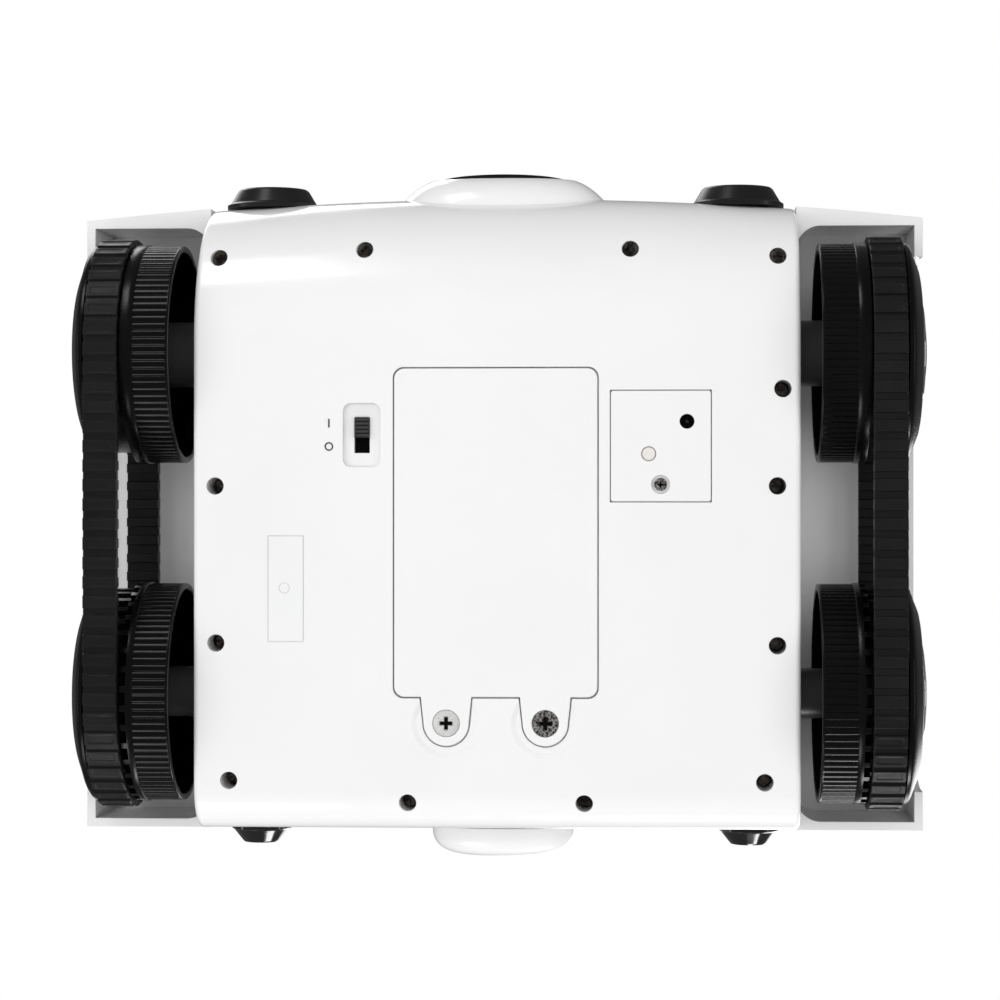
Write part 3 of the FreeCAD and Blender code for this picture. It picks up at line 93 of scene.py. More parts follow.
class Shader:
    """A Principled material, with short ways to add the nodes that vary it."""

    def __init__(self, name):
        self.material = bpy.data.materials.new(name)
        self.material.use_nodes = True
        self.tree = self.material.node_tree
        self.main = next(n for n in self.tree.nodes if n.type == "BSDF_PRINCIPLED")
        self.place = self.node("ShaderNodeTexCoord").outputs["Object"]

    def node(self, kind, **values):
        made = self.tree.nodes.new(kind)
        for key, value in values.items():
            setattr(made, key, value)
        return made

    def link(self, source, target):
        self.tree.links.new(source, target)

    def noise(self, scale, detail=3.0, stretch=(1, 1, 1)):
        mapping = self.node("ShaderNodeMapping")
        mapping.inputs["Scale"].default_value = stretch
        self.link(self.place, mapping.inputs["Vector"])
        made = self.node("ShaderNodeTexNoise")
        made.inputs["Scale"].default_value = scale
        made.inputs["Detail"].default_value = detail
        self.link(mapping.outputs["Vector"], made.inputs["Vector"])
        return made.outputs["Fac"]

    def spread(self, source, low, high, source_low=0.3, source_high=0.7):
        made = self.node("ShaderNodeMapRange")
        for key, value in (
            ("From Min", source_low), ("From Max", source_high), ("To Min", low), ("To Max", high),
        ):
            made.inputs[key].default_value = value
        self.link(source, made.inputs["Value"])
        return made.outputs["Result"]

    def mix(self, share, one, other):
        made = self.node("ShaderNodeMix", data_type="RGBA")
        self.link(share, made.inputs["Factor"])
        for key, value in (("A", one), ("B", other)):
            target = next(s for s in made.inputs if s.name == key and s.type == "RGBA")
            if isinstance(value, bpy.types.NodeSocket):
                self.link(value, target)
            else:
                target.default_value = (*value, 1)
        return next(s for s in made.outputs if s.type == "RGBA")

    def edges(self, radius):
        """How much a point is on an edge: the turn of the normal within that radius."""
        soft = self.node("ShaderNodeBevel", samples=4)
        soft.inputs["Radius"].default_value = radius
        plain = self.node("ShaderNodeNewGeometry")
        product = self.node("ShaderNodeVectorMath", operation="DOT_PRODUCT")
        self.link(soft.outputs["Normal"], product.inputs[0])
        self.link(plain.outputs["Normal"], product.inputs[1])
        return self.spread(product.outputs["Value"], 1.0, 0.0, 0.80, 0.985)

    def relief(self, height, strength, distance, rounding=0.0):
        bump = self.node("ShaderNodeBump")
        bump.inputs["Strength"].default_value = strength
        bump.inputs["Distance"].default_value = distance
        self.link(height, bump.inputs["Height"])
        if rounding:
            soft = self.node("ShaderNodeBevel", samples=4)
            soft.inputs["Radius"].default_value = rounding
            self.link(soft.outputs["Normal"], bump.inputs["Normal"])
        self.link(bump.outputs["Normal"], self.main.inputs["Normal"])

    def set(self, **values):
        for key, value in values.items():
            self.main.inputs[key.replace("_", " ")].default_value = value


def moulded(name, colour, other, rough, grain, rounding=0.15, coat=0.0, specular=0.5, worn=None):
    """Moulded plastic or rubber: two close tones, uneven gloss, a fine grain and rounded edges."""
    made = Shader(name)
    tone = made.mix(made.spread(made.noise(38), 0, 1), colour, other)
    if worn:
        scuffed = made.node("ShaderNodeMath", operation="MULTIPLY")
        made.link(made.edges(0.0005), scuffed.inputs[0])
        made.link(made.spread(made.noise(160, 4), 0.0, 0.55), scuffed.inputs[1])
        tone = made.mix(scuffed.outputs["Value"], tone, worn)
    made.link(tone, made.main.inputs["Base Color"])
    made.link(made.spread(made.noise(70, 5), *rough), made.main.inputs["Roughness"])
    made.relief(made.noise(grain, 4), 0.25, 0.00004, rounding * MM)
    made.set(Specular_IOR_Level=specular, Coat_Weight=coat, Coat_Roughness=0.06)
    return made.material


def metal(name, colour, other, rough, stretch=(1, 1, 1), worn=None, metallic=1.0, stains=420):
    """Metal with fine lines along one direction and faint stains."""
    made = Shader(name)
    stained = made.mix(made.spread(made.noise(260, 4), 0, 1), colour, other)
    if worn:
        stained = made.mix(made.spread(made.noise(stains, 5), 0, 1, 0.42, 0.58), stained, worn)
    made.link(stained, made.main.inputs["Base Color"])
    made.link(made.spread(made.noise(500, 4, stretch), *rough), made.main.inputs["Roughness"])
    made.relief(made.noise(900, 3, stretch), 0.2, 0.00002)
    made.set(Metallic=metallic)
    return made.material


def clear(name, colour, other, rough=(0.02, 0.08), transmission=0.92, ior=1.49):
    """A clear or tinted moulding with faint flow lines."""
    made = Shader(name)
    made.link(made.mix(made.spread(made.noise(60), 0, 1), colour, other), made.main.inputs["Base Color"])
    made.link(made.spread(made.noise(120, 4), *rough), made.main.inputs["Roughness"])
    made.relief(made.noise(300, 2), 0.1, 0.00002)
    made.set(Transmission_Weight=transmission, IOR=ior)
    return made.material


def circuit_board(name):
    """Green board with paler traces in a grid of short runs."""
    made = Shader(name)
    cells = made.node("ShaderNodeTexVoronoi", distance="MANHATTAN", feature="F1")
    cells.inputs["Scale"].default_value = 240
    made.link(made.place, cells.inputs["Vector"])
    traces = made.spread(cells.outputs["Distance"], 1, 0, 0.25, 0.35)
    ground = made.mix(made.spread(made.noise(90), 0, 1), (0.015, 0.11, 0.035), (0.02, 0.16, 0.05))
    made.link(made.mix(traces, ground, (0.04, 0.26, 0.08)), made.main.inputs["Base Color"])
    made.link(made.spread(made.noise(200), 0.25, 0.4), made.main.inputs["Roughness"])
    made.relief(traces, 0.3, 0.00004)
    return made.material


def wrapped_cell(name):
    """Plain printed film round a battery cell: two bands of colour and no lettering."""
    made = Shader(name)
    parts = made.node("ShaderNodeSeparateXYZ")
    made.link(made.place, parts.inputs["Vector"])
    band = made.spread(parts.outputs["X"], 0, 1, 0.008, 0.0085)
    tone = made.mix(band, (0.02, 0.07, 0.24), (0.55, 0.55, 0.53))
    made.link(made.mix(made.spread(made.noise(50), 0, 0.2), tone, (0.1, 0.1, 0.12)),
              made.main.inputs["Base Color"])
    made.link(made.spread(made.noise(90), 0.2, 0.35), made.main.inputs["Roughness"])
    made.relief(made.noise(700), 0.15, 0.00003)
    return made.material


MATERIALS = {
    "white_shell": moulded("white_shell", (0.88, 0.88, 0.88), (0.862, 0.862, 0.862), (0.13, 0.24), 900,
                           0.35, coat=0.25, worn=(0.74, 0.74, 0.73)),
    "track_rubber": moulded("track_rubber", (0.006, 0.006, 0.0063), (0.01, 0.01, 0.0103), (0.38, 0.55), 1600,
                            0.1, specular=0.35, worn=(0.03, 0.03, 0.03)),
    "wheel_black": moulded("wheel_black", (0.0015, 0.0015, 0.0016), (0.003, 0.003, 0.003), (0.2, 0.32), 1100,
                           0.06, specular=0.3, worn=(0.02, 0.02, 0.02)),
    "hub_black": moulded("hub_black", (0.005, 0.005, 0.0055), (0.008, 0.008, 0.009), (0.08, 0.16), 900,
                         0.1, coat=0.5, specular=0.4),
    "axle_steel": metal("axle_steel", (0.6, 0.6, 0.61), (0.5, 0.5, 0.5), (0.22, 0.36), (0.2, 4, 4)),
    "boss_grey": moulded("boss_grey", (0.046, 0.046, 0.0465), (0.056, 0.056, 0.057), (0.3, 0.42), 1300,
                         0.15, specular=0.45, worn=(0.05, 0.05, 0.05)),
    "bezel_black": moulded("bezel_black", (0.008, 0.008, 0.0085), (0.013, 0.013, 0.013), (0.26, 0.4), 1400,
                           0.12, specular=0.4, worn=(0.03, 0.03, 0.03)),
    "tail_black": moulded("tail_black", (0.006, 0.006, 0.006), (0.01, 0.01, 0.01), (0.1, 0.2), 1200,
                          0.12, coat=0.6, specular=0.5, worn=(0.03, 0.03, 0.03)),
    "lens_clear": clear("lens_clear", (0.95, 0.97, 0.98), (0.9, 0.93, 0.95)),
    "lens_red": clear("lens_red", (0.62, 0.02, 0.02), (0.5, 0.015, 0.015), transmission=0.6),
    "visor_black": moulded("visor_black", (0.003, 0.003, 0.0035), (0.005, 0.005, 0.006), (0.04, 0.09), 500,
                           0.1, coat=0.6),
    "camera_black": moulded("camera_black", (0.012, 0.012, 0.013), (0.018, 0.018, 0.019), (0.35, 0.5), 1500,
                            0.12, specular=0.4),
    "screw_zinc": metal("screw_zinc", (0.9, 0.9, 0.89), (0.74, 0.74, 0.73), (0.2, 0.4), metallic=0.35),
    "screw_dark": metal("screw_dark", (0.09, 0.08, 0.075), (0.05, 0.045, 0.04), (0.3, 0.5),
                        worn=(0.2, 0.18, 0.16)),
    "board_green": circuit_board("board_green"),
    "component_black": moulded("component_black", (0.018, 0.018, 0.02), (0.026, 0.026, 0.027), (0.35, 0.5),
                               1500),
    "knob_black": moulded("knob_black", (0.012, 0.012, 0.012), (0.018, 0.018, 0.018), (0.32, 0.45), 1500,
                          0.1, worn=(0.14, 0.14, 0.14)),
    "button_grey": moulded("button_grey", (0.82, 0.79, 0.76), (0.78, 0.75, 0.72), (0.22, 0.34), 1100, 0.2,
                           coat=0.15),
    "gear_nylon": moulded("gear_nylon", (0.78, 0.77, 0.7), (0.72, 0.71, 0.64), (0.35, 0.5), 1300, 0.08),
    "gearbox_grey": moulded("gearbox_grey", (0.09, 0.09, 0.095), (0.12, 0.12, 0.125), (0.35, 0.5), 1300),
    "motor_steel": metal("motor_steel", (0.58, 0.58, 0.58), (0.48, 0.48, 0.48), (0.22, 0.38), (4, 0.3, 4)),
    "cell_wrap": wrapped_cell("cell_wrap"),
    "contact_nickel": metal("contact_nickel", (0.72, 0.7, 0.65), (0.6, 0.58, 0.54), (0.1, 0.24)),
    "label_film": moulded("label_film", (0.865, 0.866, 0.868), (0.84, 0.842, 0.845), (0.28, 0.4), 800, 0.05,
                          coat=0.1),
    "speaker_black": moulded("speaker_black", (0.02, 0.02, 0.02), (0.03, 0.03, 0.03), (0.5, 0.65), 1600),
}

# Finishes that only some pieces of a slot have, and darker or paler copies of a slot's material that paint
# shade or highlight on a few pieces.
worn_screw = metal("worn_screw", (0.5, 0.49, 0.48), (0.3, 0.29, 0.28), (0.25, 0.45), worn=(0.012, 0.01, 0.01),
                   metallic=0.5, stains=1500)
# A near-black metal that paints the shade at the bottom of a screw's cross recess.
painted_recess_shade = metal("painted_recess_shade", (0.02, 0.02, 0.02), (0.035, 0.033, 0.03), (0.3, 0.5))
# A paler copy of the knob's black plastic: painted highlight on the grip ridges.
ridge = moulded("knob_ridge_highlight", (0.04, 0.04, 0.041), (0.055, 0.055, 0.055), (0.25, 0.4), 1500, 0.1)
# A near-black sheet that paints the shade deep in the switch slot.
slot_painted_shade = moulded("slot_painted_shade", (0.001, 0.001, 0.001), (0.002, 0.002, 0.002), (0.5, 0.65), 1500, 0.05,
                     specular=0.15)
label_line = moulded("label_line", (0.58, 0.585, 0.59), (0.52, 0.525, 0.53), (0.3, 0.45), 900, 0.05)

for part in frame["record"]["subparts"]:
    node = frame["nodes"][part["node"]]
    node.data.materials.clear()
    node.data.materials.append(MATERIALS[part["material_slot"]])


# ---------------------------------------------------------------- mesh helpers

def build(name, verts, faces, slot_name, body, *nodes, material=None, sharp=30):
    """A piece from its vertices in millimetres, riding on a body and standing for CAD nodes."""
    mesh = bpy.data.meshes.new(name)
    mesh.from_pydata([tuple(c * MM for c in v) for v in verts], [], faces)
    made = bmesh.new()
    made.from_mesh(mesh)
    bmesh.ops.recalc_face_normals(made, faces=made.faces)
    made.to_mesh(mesh)
    made.free()
    mesh.shade_smooth()
    mesh.set_sharp_from_angle(angle=math.radians(sharp))
    mesh.materials.append(material or MATERIALS[slot_name])
    piece = bpy.data.objects.new(name, mesh)
    bpy.context.scene.collection.objects.link(piece)
    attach(piece, body)
    if nodes:
        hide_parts(*nodes)
    return piece


def middle(node_name):
    low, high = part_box(node_name)
    return (low + high) / (2 * MM)


def lathe(sign, axle, profile_at, angles):
    """A closed profile turned about an axle along X; the profile may vary with the angle."""
    verts = []
    faces = []
    for angle in angles:
        profile = profile_at(angle)
        count = len(profile)
        verts += [
            (sign * x, axle.y + r * math.cos(angle), axle.z + r * math.sin(angle)) for x, r in profile
        ]
    for turn in range(len(angles)):
        after = (turn + 1) % len(angles)
        for point in range(count):
            beside = (point + 1) % count
            faces.append((turn * count + point, turn * count + beside,
                          after * count + beside, after * count + point))
    return verts, faces


def even(count):
    return [TURN * number / count for number in range(count)]


def slab(outline, low, high, chamfer):
    """A flat raised shape on the underside: an outline between two heights, chamfered at the low end."""
    count = len(outline)
    centre_x = sum(x for x, y in outline) / count
    centre_y = sum(y for x, y in outline) / count

    def shrunk(x, y):
        reach = math.hypot(x - centre_x, y - centre_y)
        share = (reach - chamfer) / reach
        return centre_x + (x - centre_x) * share, centre_y + (y - centre_y) * share

    verts = [(x, y, high) for x, y in outline]
    verts += [(x, y, low + chamfer) for x, y in outline]
    verts += [(*shrunk(x, y), low) for x, y in outline]
    faces = [tuple(range(count)), tuple(range(3 * count - 1, 2 * count - 1, -1))]
    for level in range(2):
        for point in range(count):
            beside = (point + 1) % count
            faces.append((level * count + point, level * count + beside,
                          (level + 1) * count + beside, (level + 1) * count + point))
    return verts, faces


def gathered(*meshes):
    """Several lots of vertices and faces as one."""
    verts = []
    faces = []
    for some_verts, some_faces in meshes:
        start = len(verts)
        verts += some_verts
        faces += [tuple(start + number for number in face) for face in some_faces]
    return verts, faces


# ---------------------------------------------------------------- wheels

# Where the rounded top of a rib has its points, as shares of a rib's width.
RIB_SHARES = (0, 0.1, 0.22, 0.36, 0.5, 0.64, 0.78, 0.9)


def drum_angles(driven):
    """The angles at which a drum's profile changes, at its ribs and notches."""
    step = TURN / RIBS
    angles = {number * step + share * step for number in range(RIBS) for share in RIB_SHARES}
    if driven:
        half = NOTCH_WIDTH / 2 / SEAT_RADIUS["rear"]
        angles |= {
            (number * TURN / NOTCHES + edge) % TURN
            for number in range(NOTCHES)
            for edge in (-half - 0.004, -half, half, half + 0.004)
        }
    return sorted(angles)


def drum_profile(place):
    """A drum's section as a function of the angle: a rounded rib, and a notch for the track's lugs."""
    seat = SEAT_RADIUS[place]
    driven = place == "rear"
    half = NOTCH_WIDTH / 2 / SEAT_RADIUS["rear"]
    step = TURN / RIBS

    def at(angle):
        share = (angle % step) / step
        rib = DRUM_RADIUS - RIB_DEPTH * (1 - math.sqrt(max(0.0, 1 - (2 * share - 1) ** 2)))
        turn = (angle + TURN / NOTCHES / 2) % (TURN / NOTCHES) - TURN / NOTCHES / 2
        notched = driven and abs(turn) < half + 0.001
        shoulder = NOTCH_RADIUS if notched else SHOULDER_RADIUS
        outer = min(seat, NOTCH_RADIUS) if notched else seat
        return (
            (HUB_IN + 0.4, AXLE_RADIUS + 0.2),
            (HUB_IN, AXLE_RADIUS + 0.6),
            (HUB_IN, HUB_RADIUS - 0.5),
            (HUB_IN + 0.5, HUB_RADIUS),
            (WEB_IN - 0.8, HUB_RADIUS + 0.8),
            (WEB_IN, HUB_RADIUS + 1.8),
            (WEB_IN, seat - 3.2),
            (WEB_IN - 1, seat - 2.2),
            (RIB_OUT + 1, seat - 2.2),
            (RIB_OUT, DRUM_BORE),
            (DRUM_IN + 0.3, DRUM_BORE),
            (DRUM_IN, DRUM_BORE + 0.3),
            (DRUM_IN, DRUM_RADIUS - 0.35),
            (DRUM_IN + 0.1, DRUM_RADIUS - 0.12),
            (DRUM_IN + 0.35, DRUM_RADIUS),
            (DRUM_IN + 0.7, DRUM_RADIUS),
            (DRUM_IN + 0.75, rib),
            (DRUM_IN + 0.8, rib),
            (RIB_OUT - 0.1, rib),
            (RIB_OUT - 0.05, rib),
            (RIB_OUT, DRUM_RADIUS),
            (RIB_OUT, SHOULDER_RADIUS - 0.12),
            (RIB_OUT + 0.15, SHOULDER_RADIUS),
            (NOTCH_IN - 0.02, SHOULDER_RADIUS),
            (NOTCH_IN, shoulder),
            (SHOULDER_OUT - 0.3, shoulder),
            (SHOULDER_OUT - 0.08, shoulder - 0.08),
            (SHOULDER_OUT, shoulder - (0.1 if notched else 0.3)),
            (SHOULDER_OUT, outer),
            (DRUM_OUT, outer),
            (DRUM_OUT, AXLE_RADIUS + 0.2),
        )

    return at


# The outer face of a wheel disc, from its seat to the hub ring and back along its inner side.
DISC_PROFILE = (
    (DRUM_OUT, AXLE_RADIUS), (DRUM_OUT, DISC_EDGE - 0.2), (DRUM_OUT + 0.2, DISC_EDGE),
    (DRUM_OUT + 0.9, DISC_EDGE), (DRUM_OUT + 1.25, DISC_EDGE - 0.12),
    (DRUM_OUT + 1.6, DISC_EDGE - 0.45), (DRUM_OUT + 2.1, DISC_EDGE - 1.2), (DISC_OUT - 1.6, 27.4),
    (DISC_OUT - 0.7, 25.2), (DISC_OUT - 0.25, 24.0), (DISC_OUT - 0.05, 23.0), (DISC_OUT, 22.2),
    (DISC_OUT - 0.35, 21.95), (DISC_OUT - 0.35, 21.35), (DISC_OUT + 0.05, 21.1),
    (DISC_OUT + 0.2, 18.0), (DISC_OUT + 0.3, 16.2), (DISC_OUT, 15.9),
    (DISC_OUT, RING_RADIUS + 0.35), (DISC_OUT + 0.25, RING_RADIUS + 0.1),
    (DISC_OUT + 0.2, RING_RADIUS), (CAP_SEAT, RING_RADIUS), (CAP_SEAT, AXLE_RADIUS),
)
CAP_PROFILE = (
    (CAP_SEAT, 0.02), (CAP_SEAT, CAP_RADIUS), (DISC_OUT + 1.1, CAP_RADIUS),
    (DISC_OUT + 1.35, CAP_RADIUS - 0.15), (DISC_OUT + 1.5, CAP_RADIUS - 0.6),
    (CAP_OUT - 0.4, CAP_RADIUS - 3.5), (CAP_OUT - 0.12, CAP_RADIUS - 5.2),
    (CAP_OUT, CAP_RADIUS - 7), (CAP_OUT, 4.2), (CAP_OUT - 0.25, 3.9), (CAP_OUT - 0.25, 0.02),
)
RING_PROFILE = (
    (CAP_SEAT + 0.1, CAP_RADIUS), (CAP_SEAT + 0.1, RING_RADIUS - 0.05),
    (DISC_OUT + 0.75, RING_RADIUS - 0.05), (DISC_OUT + 1.1, RING_RADIUS - 0.2),
    (DISC_OUT + 1.3, RING_RADIUS - 0.55), (DISC_OUT + 1.35, RING_RADIUS - 0.95),
    (DISC_OUT + 1.25, CAP_RADIUS + 0.05), (DISC_OUT + 0.9, CAP_RADIUS),
)

chrome = metal("chrome_ring", (0.86, 0.86, 0.87), (0.78, 0.78, 0.8), (0.04, 0.1))

AXLES = {place: middle(f"{place}_axle_right") for place in SEAT_RADIUS}

for place, group in (("front", "idler_wheel"), ("rear", "drive_wheel")):
    axle = AXLES[place]
    angles = drum_angles(place == "rear")
    for side, sign in SIDES.items():
        body = f"{group}_{side}"
        build(f"{place}_ribbed_drum_{side}", *lathe(sign, axle, drum_profile(place), angles),
              "wheel_black", body, f"{place}_drum_{side}", sharp=44)
        build(f"{place}_dished_disc_{side}", *lathe(sign, axle, lambda angle: DISC_PROFILE, even(180)),
              "wheel_black", body, f"{place}_disc_{side}", sharp=36)
        build(f"{place}_domed_cap_{side}", *lathe(sign, axle, lambda angle: CAP_PROFILE, even(128)),
              "hub_black", body, f"{place}_hub_cap_{side}", sharp=30)
        build(f"{place}_bright_ring_{side}", *lathe(sign, axle, lambda angle: RING_PROFILE, even(128)),
              "hub_black", body, material=chrome, sharp=40)


# ---------------------------------------------------------------- tracks

def track_point(travel, offset):
    """A point (y, z) on the loop, travel pitches from the front axle's lowest point, offset outwards."""
    front, rear = AXLES["front"], AXLES["rear"]
    travel %= 4 * SPAN_PITCHES
    side, share = divmod(travel, SPAN_PITCHES)
    share /= SPAN_PITCHES
    if side == 0:
        return front.y + share * (rear.y - front.y), front.z - PITCH_RADIUS - offset
    if side == 1:
        angle = math.pi * (share - 0.5)
        return (rear.y + (PITCH_RADIUS + offset) * math.cos(angle),
                rear.z + (PITCH_RADIUS + offset) * math.sin(angle))
    if side == 2:
        return rear.y + share * (front.y - rear.y), rear.z + PITCH_RADIUS + offset
    angle = math.pi * (share + 0.5)
    return (front.y + (PITCH_RADIUS + offset) * math.cos(angle),
            front.z + (PITCH_RADIUS + offset) * math.sin(angle))


# The filled bottom of the gaps between outer pads.
GAP_FILL = 0.6


def block_steps(length, depth, inset):
    """Half a block from the gap to its middle: (place along the track, height, whether inside the inset)."""
    half = length / 2
    gap = GAP_FILL if inset else 0.0
    steps = [(TRACK_PITCH / 2, gap, False), (half + 0.1, gap, False), (half + 0.02, gap + 0.1, False),
             (half - 0.03, depth - 0.3, False), (half - 0.1, depth - 0.1, False), (half - 0.22, depth, False)]
    if inset:
        steps += [(half - 0.75, depth, False), (half - 0.85, depth, True), (0.0, depth, True)]
    else:
        steps += [(0.0, depth, False)]
    return steps


INSET_DEPTH = 0.1
# (distance from the band's side in mm, drop of the block's top, whether inside the inset)
ACROSS = (
    (0.0, 0.22, False), (0.05, 0.08, False), (0.14, 0.015, False),
    (0.25, 0.0, False), (1.3, 0.0, False), (1.42, 0.0, True),
)


def band_surface(length, depth, inset, outward):
    """Rows of vertices of the band's outer or inner side, one row for each step along the whole loop."""
    half_steps = block_steps(length, depth, inset)
    steps = [(-travel, height, sunk) for travel, height, sunk in half_steps]
    steps += [(travel, height, sunk) for travel, height, sunk in reversed(half_steps[1:-1])]
    width = TRACK_OUT - TRACK_IN
    across = list(ACROSS) + [(width - reach, drop, sunk) for reach, drop, sunk in reversed(ACROSS)]
    rows = []
    for tooth in range(4 * SPAN_PITCHES):
        for travel, height, sunk_along in steps:
            row = []
            for reach, drop, sunk_across in across:
                level = max(0.0, height - drop)
                if inset and sunk_along and sunk_across:
                    level -= INSET_DEPTH
                y, z = track_point(tooth + travel / TRACK_PITCH, outward * (BAND_GAUGE / 2 + level))
                row.append((TRACK_IN + reach, y, z))
            rows.append(row)
    return rows


def track_mesh(sign):
    """A whole track: pads outside, lugs inside, and the band's two edges joining them."""
    outer = band_surface(PAD_LENGTH, PAD_DEPTH, True, 1)
    inner = band_surface(LUG_LENGTH, PAD_DEPTH, False, -1)
    verts = []
    faces = []
    starts = []
    for rows in (outer, inner):
        start = len(verts)
        width = len(rows[0])
        starts.append((start, width, len(rows)))
        for row in rows:
            verts += [(sign * x, y, z) for x, y, z in row]
        for line in range(len(rows)):
            after = (line + 1) % len(rows)
            for point in range(width - 1):
                faces.append((start + line * width + point, start + line * width + point + 1,
                              start + after * width + point + 1, start + after * width + point))
    (first, first_width, first_count), (second, second_width, second_count) = starts
    per_outer = first_count // (4 * SPAN_PITCHES)
    per_inner = second_count // (4 * SPAN_PITCHES)
    for edge_of_outer, edge_of_inner in ((0, 0), (first_width - 1, second_width - 1)):
        for tooth in range(4 * SPAN_PITCHES):
            rim = [first + (tooth * per_outer + step) % first_count * first_width + edge_of_outer
                   for step in range(per_outer + 1)]
            back = [second + (tooth * per_inner + step) % second_count * second_width + edge_of_inner
                    for step in range(per_inner, -1, -1)]
            faces.append(tuple(rim + back))
    return verts, faces


for side, sign in SIDES.items():
    build(f"padded_track_{side}", *track_mesh(sign), "track_rubber", "chassis", f"track_{side}", sharp=38)


# ---------------------------------------------------------------- marks on the underside

# The hull's underside, and how far a printed mark stands off it.
FLOOR_Z = 12.0
MARK_HEIGHT = 0.14
SUNK = 0.05


def bar(x, y, half_x, half_y, low=FLOOR_Z - MARK_HEIGHT, high=FLOOR_Z + SUNK):
    return slab([(x - half_x, y - half_y), (x + half_x, y - half_y),
                 (x + half_x, y + half_y), (x - half_x, y + half_y)], low, high, 0.05)


def arc_band(x, y, inner, outer, start, end, low, high, count=28):
    """A flat band along an arc; a full turn closes on itself."""
    closed = abs(end - start) > TURN - 0.01
    turns = [start + (end - start) * number / count for number in range(count + (not closed))]
    verts = []
    for angle in turns:
        for radius, z in ((inner, high), (inner, low), (outer, low), (outer, high)):
            verts.append((x + radius * math.cos(angle), y + radius * math.sin(angle), z))
    faces = []
    total = len(turns)
    for number in range(total if closed else total - 1):
        after = (number + 1) % total
        for corner in range(4):
            beside = (corner + 1) % 4
            faces.append((number * 4 + corner, number * 4 + beside, after * 4 + beside, after * 4 + corner))
    if not closed:
        faces += [(0, 1, 2, 3), tuple(4 * (total - 1) + corner for corner in (3, 2, 1, 0))]
    return verts, faces


knob = middle("switch_knob")
MARK_X = knob.x - 9.1
build(
    "switch_marks",
    *gathered(
        bar(MARK_X, knob.y - 1.2, 0.2, 1.2),
        arc_band(MARK_X, knob.y + 5.3, 0.85, 1.2, 0, TURN, FLOOR_Z - MARK_HEIGHT, FLOOR_Z + SUNK),
    ),
    "knob_black", "chassis",
)

# The knob's grip ridges, which slide with it; their paler tone is a painted highlight on the ridges.
for number in range(5):
    build(f"knob_ridge_highlight_{number}", *bar(knob.x, knob.y - 2.2 + 1.1 * number, 1.9, 0.3, 12.12, 12.55),
          "knob_black", "power_slider", material=ridge)
# A near-black sheet at the plate's depth that rides with the knob: painted shade in the slot round the knob.
build("slot_shade_sheet", *bar(knob.x, knob.y, 2.05, 7.3, 15.45, 15.65),
      "knob_black", "power_slider", material=slot_painted_shade)


# ---------------------------------------------------------------- label and screws

# The label's sides in x and y, and half the width of the line round it.
LABEL = (-63.6, -53.6, 5.7, 35.3)
LINE = 0.09
label_x, label_y = (LABEL[0] + LABEL[1]) / 2, (LABEL[2] + LABEL[3]) / 2
half_x, half_y = (LABEL[1] - LABEL[0]) / 2 - LINE, (LABEL[3] - LABEL[2]) / 2 - LINE
build(
    "label_outline",
    *gathered(
        *(bar(label_x + side * half_x, label_y, LINE, half_y + LINE, 11.87, 11.95) for side in (-1, 1)),
        *(bar(label_x, label_y + end * half_y, half_x - LINE, LINE, 11.87, 11.95) for end in (-1, 1)),
        arc_band(label_x - 0.4, label_y - 0.2, 1.35, 1.5, 0, TURN, 11.87, 11.95),
    ),
    "label_film", "chassis", material=label_line,
)


def screw_head(x, y, rim, crown, radius, depth, rings=16, count=96):
    """A domed head with a cross recess, seen from below."""
    verts = [(x, y, crown + depth)]
    for ring in range(1, rings + 1):
        reach = radius * ring / rings
        for number in range(count):
            angle = TURN * number / count
            across, along = abs(reach * math.cos(angle)), abs(reach * math.sin(angle))
            blade, arm = min(across, along) / radius, max(across, along) / radius
            recessed = blade < 0.15 and arm < 0.5
            dome = crown + (rim - crown) * (reach / radius) ** 2.6
            verts.append((x + reach * math.cos(angle), y + reach * math.sin(angle), dome + depth * recessed))
    verts += [(px, py, rim + 0.3) for px, py, _ in verts[-count:]]
    verts.append((x, y, rim + 0.3))
    faces = [(0, 1 + (number + 1) % count, 1 + number) for number in range(count)]
    for ring in range(rings):
        for number in range(count):
            here, beside = 1 + ring * count + number, 1 + ring * count + (number + 1) % count
            faces.append((here, beside, beside + count, here + count))
    last = 1 + rings * count
    faces += [(len(verts) - 1, last + number, last + (number + 1) % count) for number in range(count)]
    return verts, faces


for name, x, y, radius, finish in (
    ("cover_screw_head_left", -13.8, 57.9, 3.65, MATERIALS["screw_zinc"]),
    ("cover_screw_head_right", 13.8, 57.9, 3.65, worn_screw),
    ("panel_screw_head", 45.8, -8.5, 1.8, worn_screw),
):
    build(name, *screw_head(x, y, 12.08, 11.95 if radius < 3 else 11.75, radius, 0.16 * radius), "screw_zinc",
          "chassis", material=finish, sharp=32)
    # Near-black crossed bars at the bottom of each recess: painted shade for the recess's depth.
    build(f"{name}_recess", *gathered(bar(x, y, 0.13 * radius, 0.46 * radius, 12.15, 12.45),
                                      bar(x, y, 0.46 * radius, 0.13 * radius, 12.16, 12.46)),
          "screw_zinc", "chassis", material=painted_recess_shade)

# ---------------------------------------------------------------- stage, lights and camera

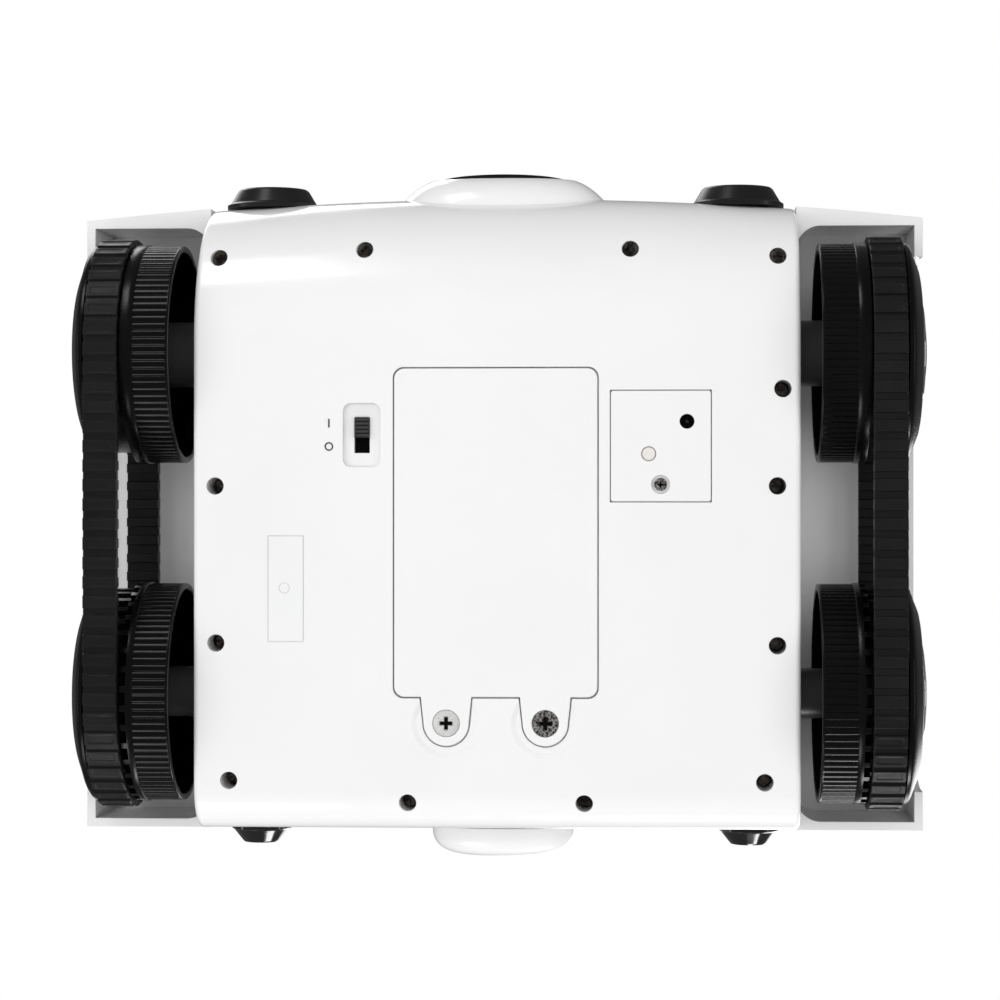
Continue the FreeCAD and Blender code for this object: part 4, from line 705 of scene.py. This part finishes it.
def stage_floor():
    """A pale floor that shows from above only, so that the underside can be seen and lit from below."""
    half = 3.0
    mesh = bpy.data.meshes.new("floor")
    corners = [(-half, -half, 0), (half, -half, 0), (half, half, 0), (-half, half, 0)]
    mesh.from_pydata(corners, [], [(0, 1, 2, 3)])
    made = Shader("floor")
    made.link(made.mix(made.noise(2.0), (0.86, 0.86, 0.86), (0.9, 0.9, 0.9)), made.main.inputs["Base Color"])
    made.set(Roughness=0.6, Specular_IOR_Level=0.2)
    side = made.node("ShaderNodeNewGeometry")
    hidden = made.node("ShaderNodeBsdfTransparent")
    choice = made.node("ShaderNodeMixShader")
    end = next(n for n in made.tree.nodes if n.type == "OUTPUT_MATERIAL")
    made.link(side.outputs["Backfacing"], choice.inputs["Fac"])
    made.link(made.main.outputs["BSDF"], choice.inputs[1])
    made.link(hidden.outputs["BSDF"], choice.inputs[2])
    made.link(choice.outputs["Shader"], end.inputs["Surface"])
    mesh.materials.append(made.material)
    floor = bpy.data.objects.new("floor", mesh)
    floor.location.z = -0.0005
    bpy.context.scene.collection.objects.link(floor)
    floor.visible_shadow = False
    floor.visible_diffuse = False
    floor.visible_glossy = False
    floor.visible_transmission = False


def softbox(name, place, aim, wide, tall, watts, mirrored=True):
    """A rectangular soft light; one that isn't mirrored lights matt surfaces only."""
    lamp = bpy.data.lights.new(name, "AREA")
    lamp.shape = "RECTANGLE"
    lamp.size = wide
    lamp.size_y = tall
    lamp.energy = watts
    holder = bpy.data.objects.new(name, lamp)
    holder.location = place
    holder.rotation_mode = "QUATERNION"
    holder.rotation_quaternion = (Vector(aim) - Vector(place)).to_track_quat("-Z", "Y")
    holder.visible_camera = False
    holder.visible_glossy = mirrored
    bpy.context.scene.collection.objects.link(holder)


# The studio's even light, and the darker surround that glossy surfaces mirror.
AMBIENT = 0.38
AMBIENT_REFLECTED = 0.16

stage_floor()
world = bpy.data.worlds.new("studio")
world.use_nodes = True
studio = world.node_tree
surround = studio.nodes["Background"]
surround.inputs["Color"].default_value = (1, 1, 1, 1)
surround.inputs["Strength"].default_value = AMBIENT
backdrop = studio.nodes.new("ShaderNodeBackground")
backdrop.inputs["Color"].default_value = (1, 1, 1, 1)
reflected = studio.nodes.new("ShaderNodeBackground")
reflected.inputs["Strength"].default_value = AMBIENT_REFLECTED
ray = studio.nodes.new("ShaderNodeLightPath")
shown = surround
for kind, light in (("Is Glossy Ray", reflected), ("Is Camera Ray", backdrop)):
    choice = studio.nodes.new("ShaderNodeMixShader")
    studio.links.new(ray.outputs[kind], choice.inputs["Fac"])
    studio.links.new(shown.outputs[0], choice.inputs[1])
    studio.links.new(light.outputs[0], choice.inputs[2])
    shown = choice
studio.links.new(shown.outputs[0], studio.nodes["World Output"].inputs["Surface"])
bpy.context.scene.world = world
bpy.context.scene.view_settings.view_transform = "Standard"

softbox("rear_strip", (0.25, 1.1, 0.10), (0.1, 0.05, 0.03), 0.45, 0.22, 3.5)
softbox("rear_wash", (0.0, 1.1, 0.10), (0, 0.05, 0.03), 1.2, 0.3, 2, mirrored=False)
softbox("below", (0.0, -0.05, -1.6), (0, 0, 0.03), 1.8, 1.8, 10, mirrored=False)
softbox("front_below", (0.0, -1.3, -0.9), (0, -0.05, 0.03), 1.2, 0.6, 2.2, mirrored=False)
for side, sign in SIDES.items():
    softbox(f"below_{side}", (sign * 1.3, 0, -1.1), (0, 0, 0.03), 1.2, 0.8, 6.4, mirrored=False)
    softbox(f"side_strip_{side}", (sign * 1.4, 0, -0.3), (sign * 0.1, 0, 0.03), 0.9, 0.14, 1.2)
for end, along in (("front", -0.9), ("rear", 0.9)):
    softbox(f"low_left_{end}", (-0.35, along, -0.45), (-0.09, 0, 0.03), 0.3, 0.4, 1.6)
softbox("above_front", (-0.6, -0.9, 1.2), (0, 0, 0.05), 0.8, 0.8, 6)
softbox("above_rear", (0.5, 0.7, 1.3), (0, 0, 0.05), 1.0, 1.0, 9)

# The viewpoint is under the rover, a little to the right of its middle, and turned back towards it.
VIEWPOINT = Vector((0.0484, -0.0042, -0.741))
SHIFT = -0.05
TURNED = math.radians(2.53)
ahead = Vector((-math.sin(TURNED), 0, math.cos(TURNED)))
up = Vector((0, -1, 0))
right = ahead.cross(up)
lens_data = bpy.data.cameras.new("camera")
lens_data.lens = 97.8
lens_data.sensor_width = 36
lens_data.shift_x = SHIFT
lens_data.clip_start = 0.01
camera = bpy.data.objects.new("camera", lens_data)
camera.matrix_world = Matrix((
    (right.x, up.x, -ahead.x, VIEWPOINT.x),
    (right.y, up.y, -ahead.y, VIEWPOINT.y),
    (right.z, up.z, -ahead.z, VIEWPOINT.z),
    (0, 0, 0, 1),
))
bpy.context.scene.collection.objects.link(camera)
bpy.context.scene.camera = camera
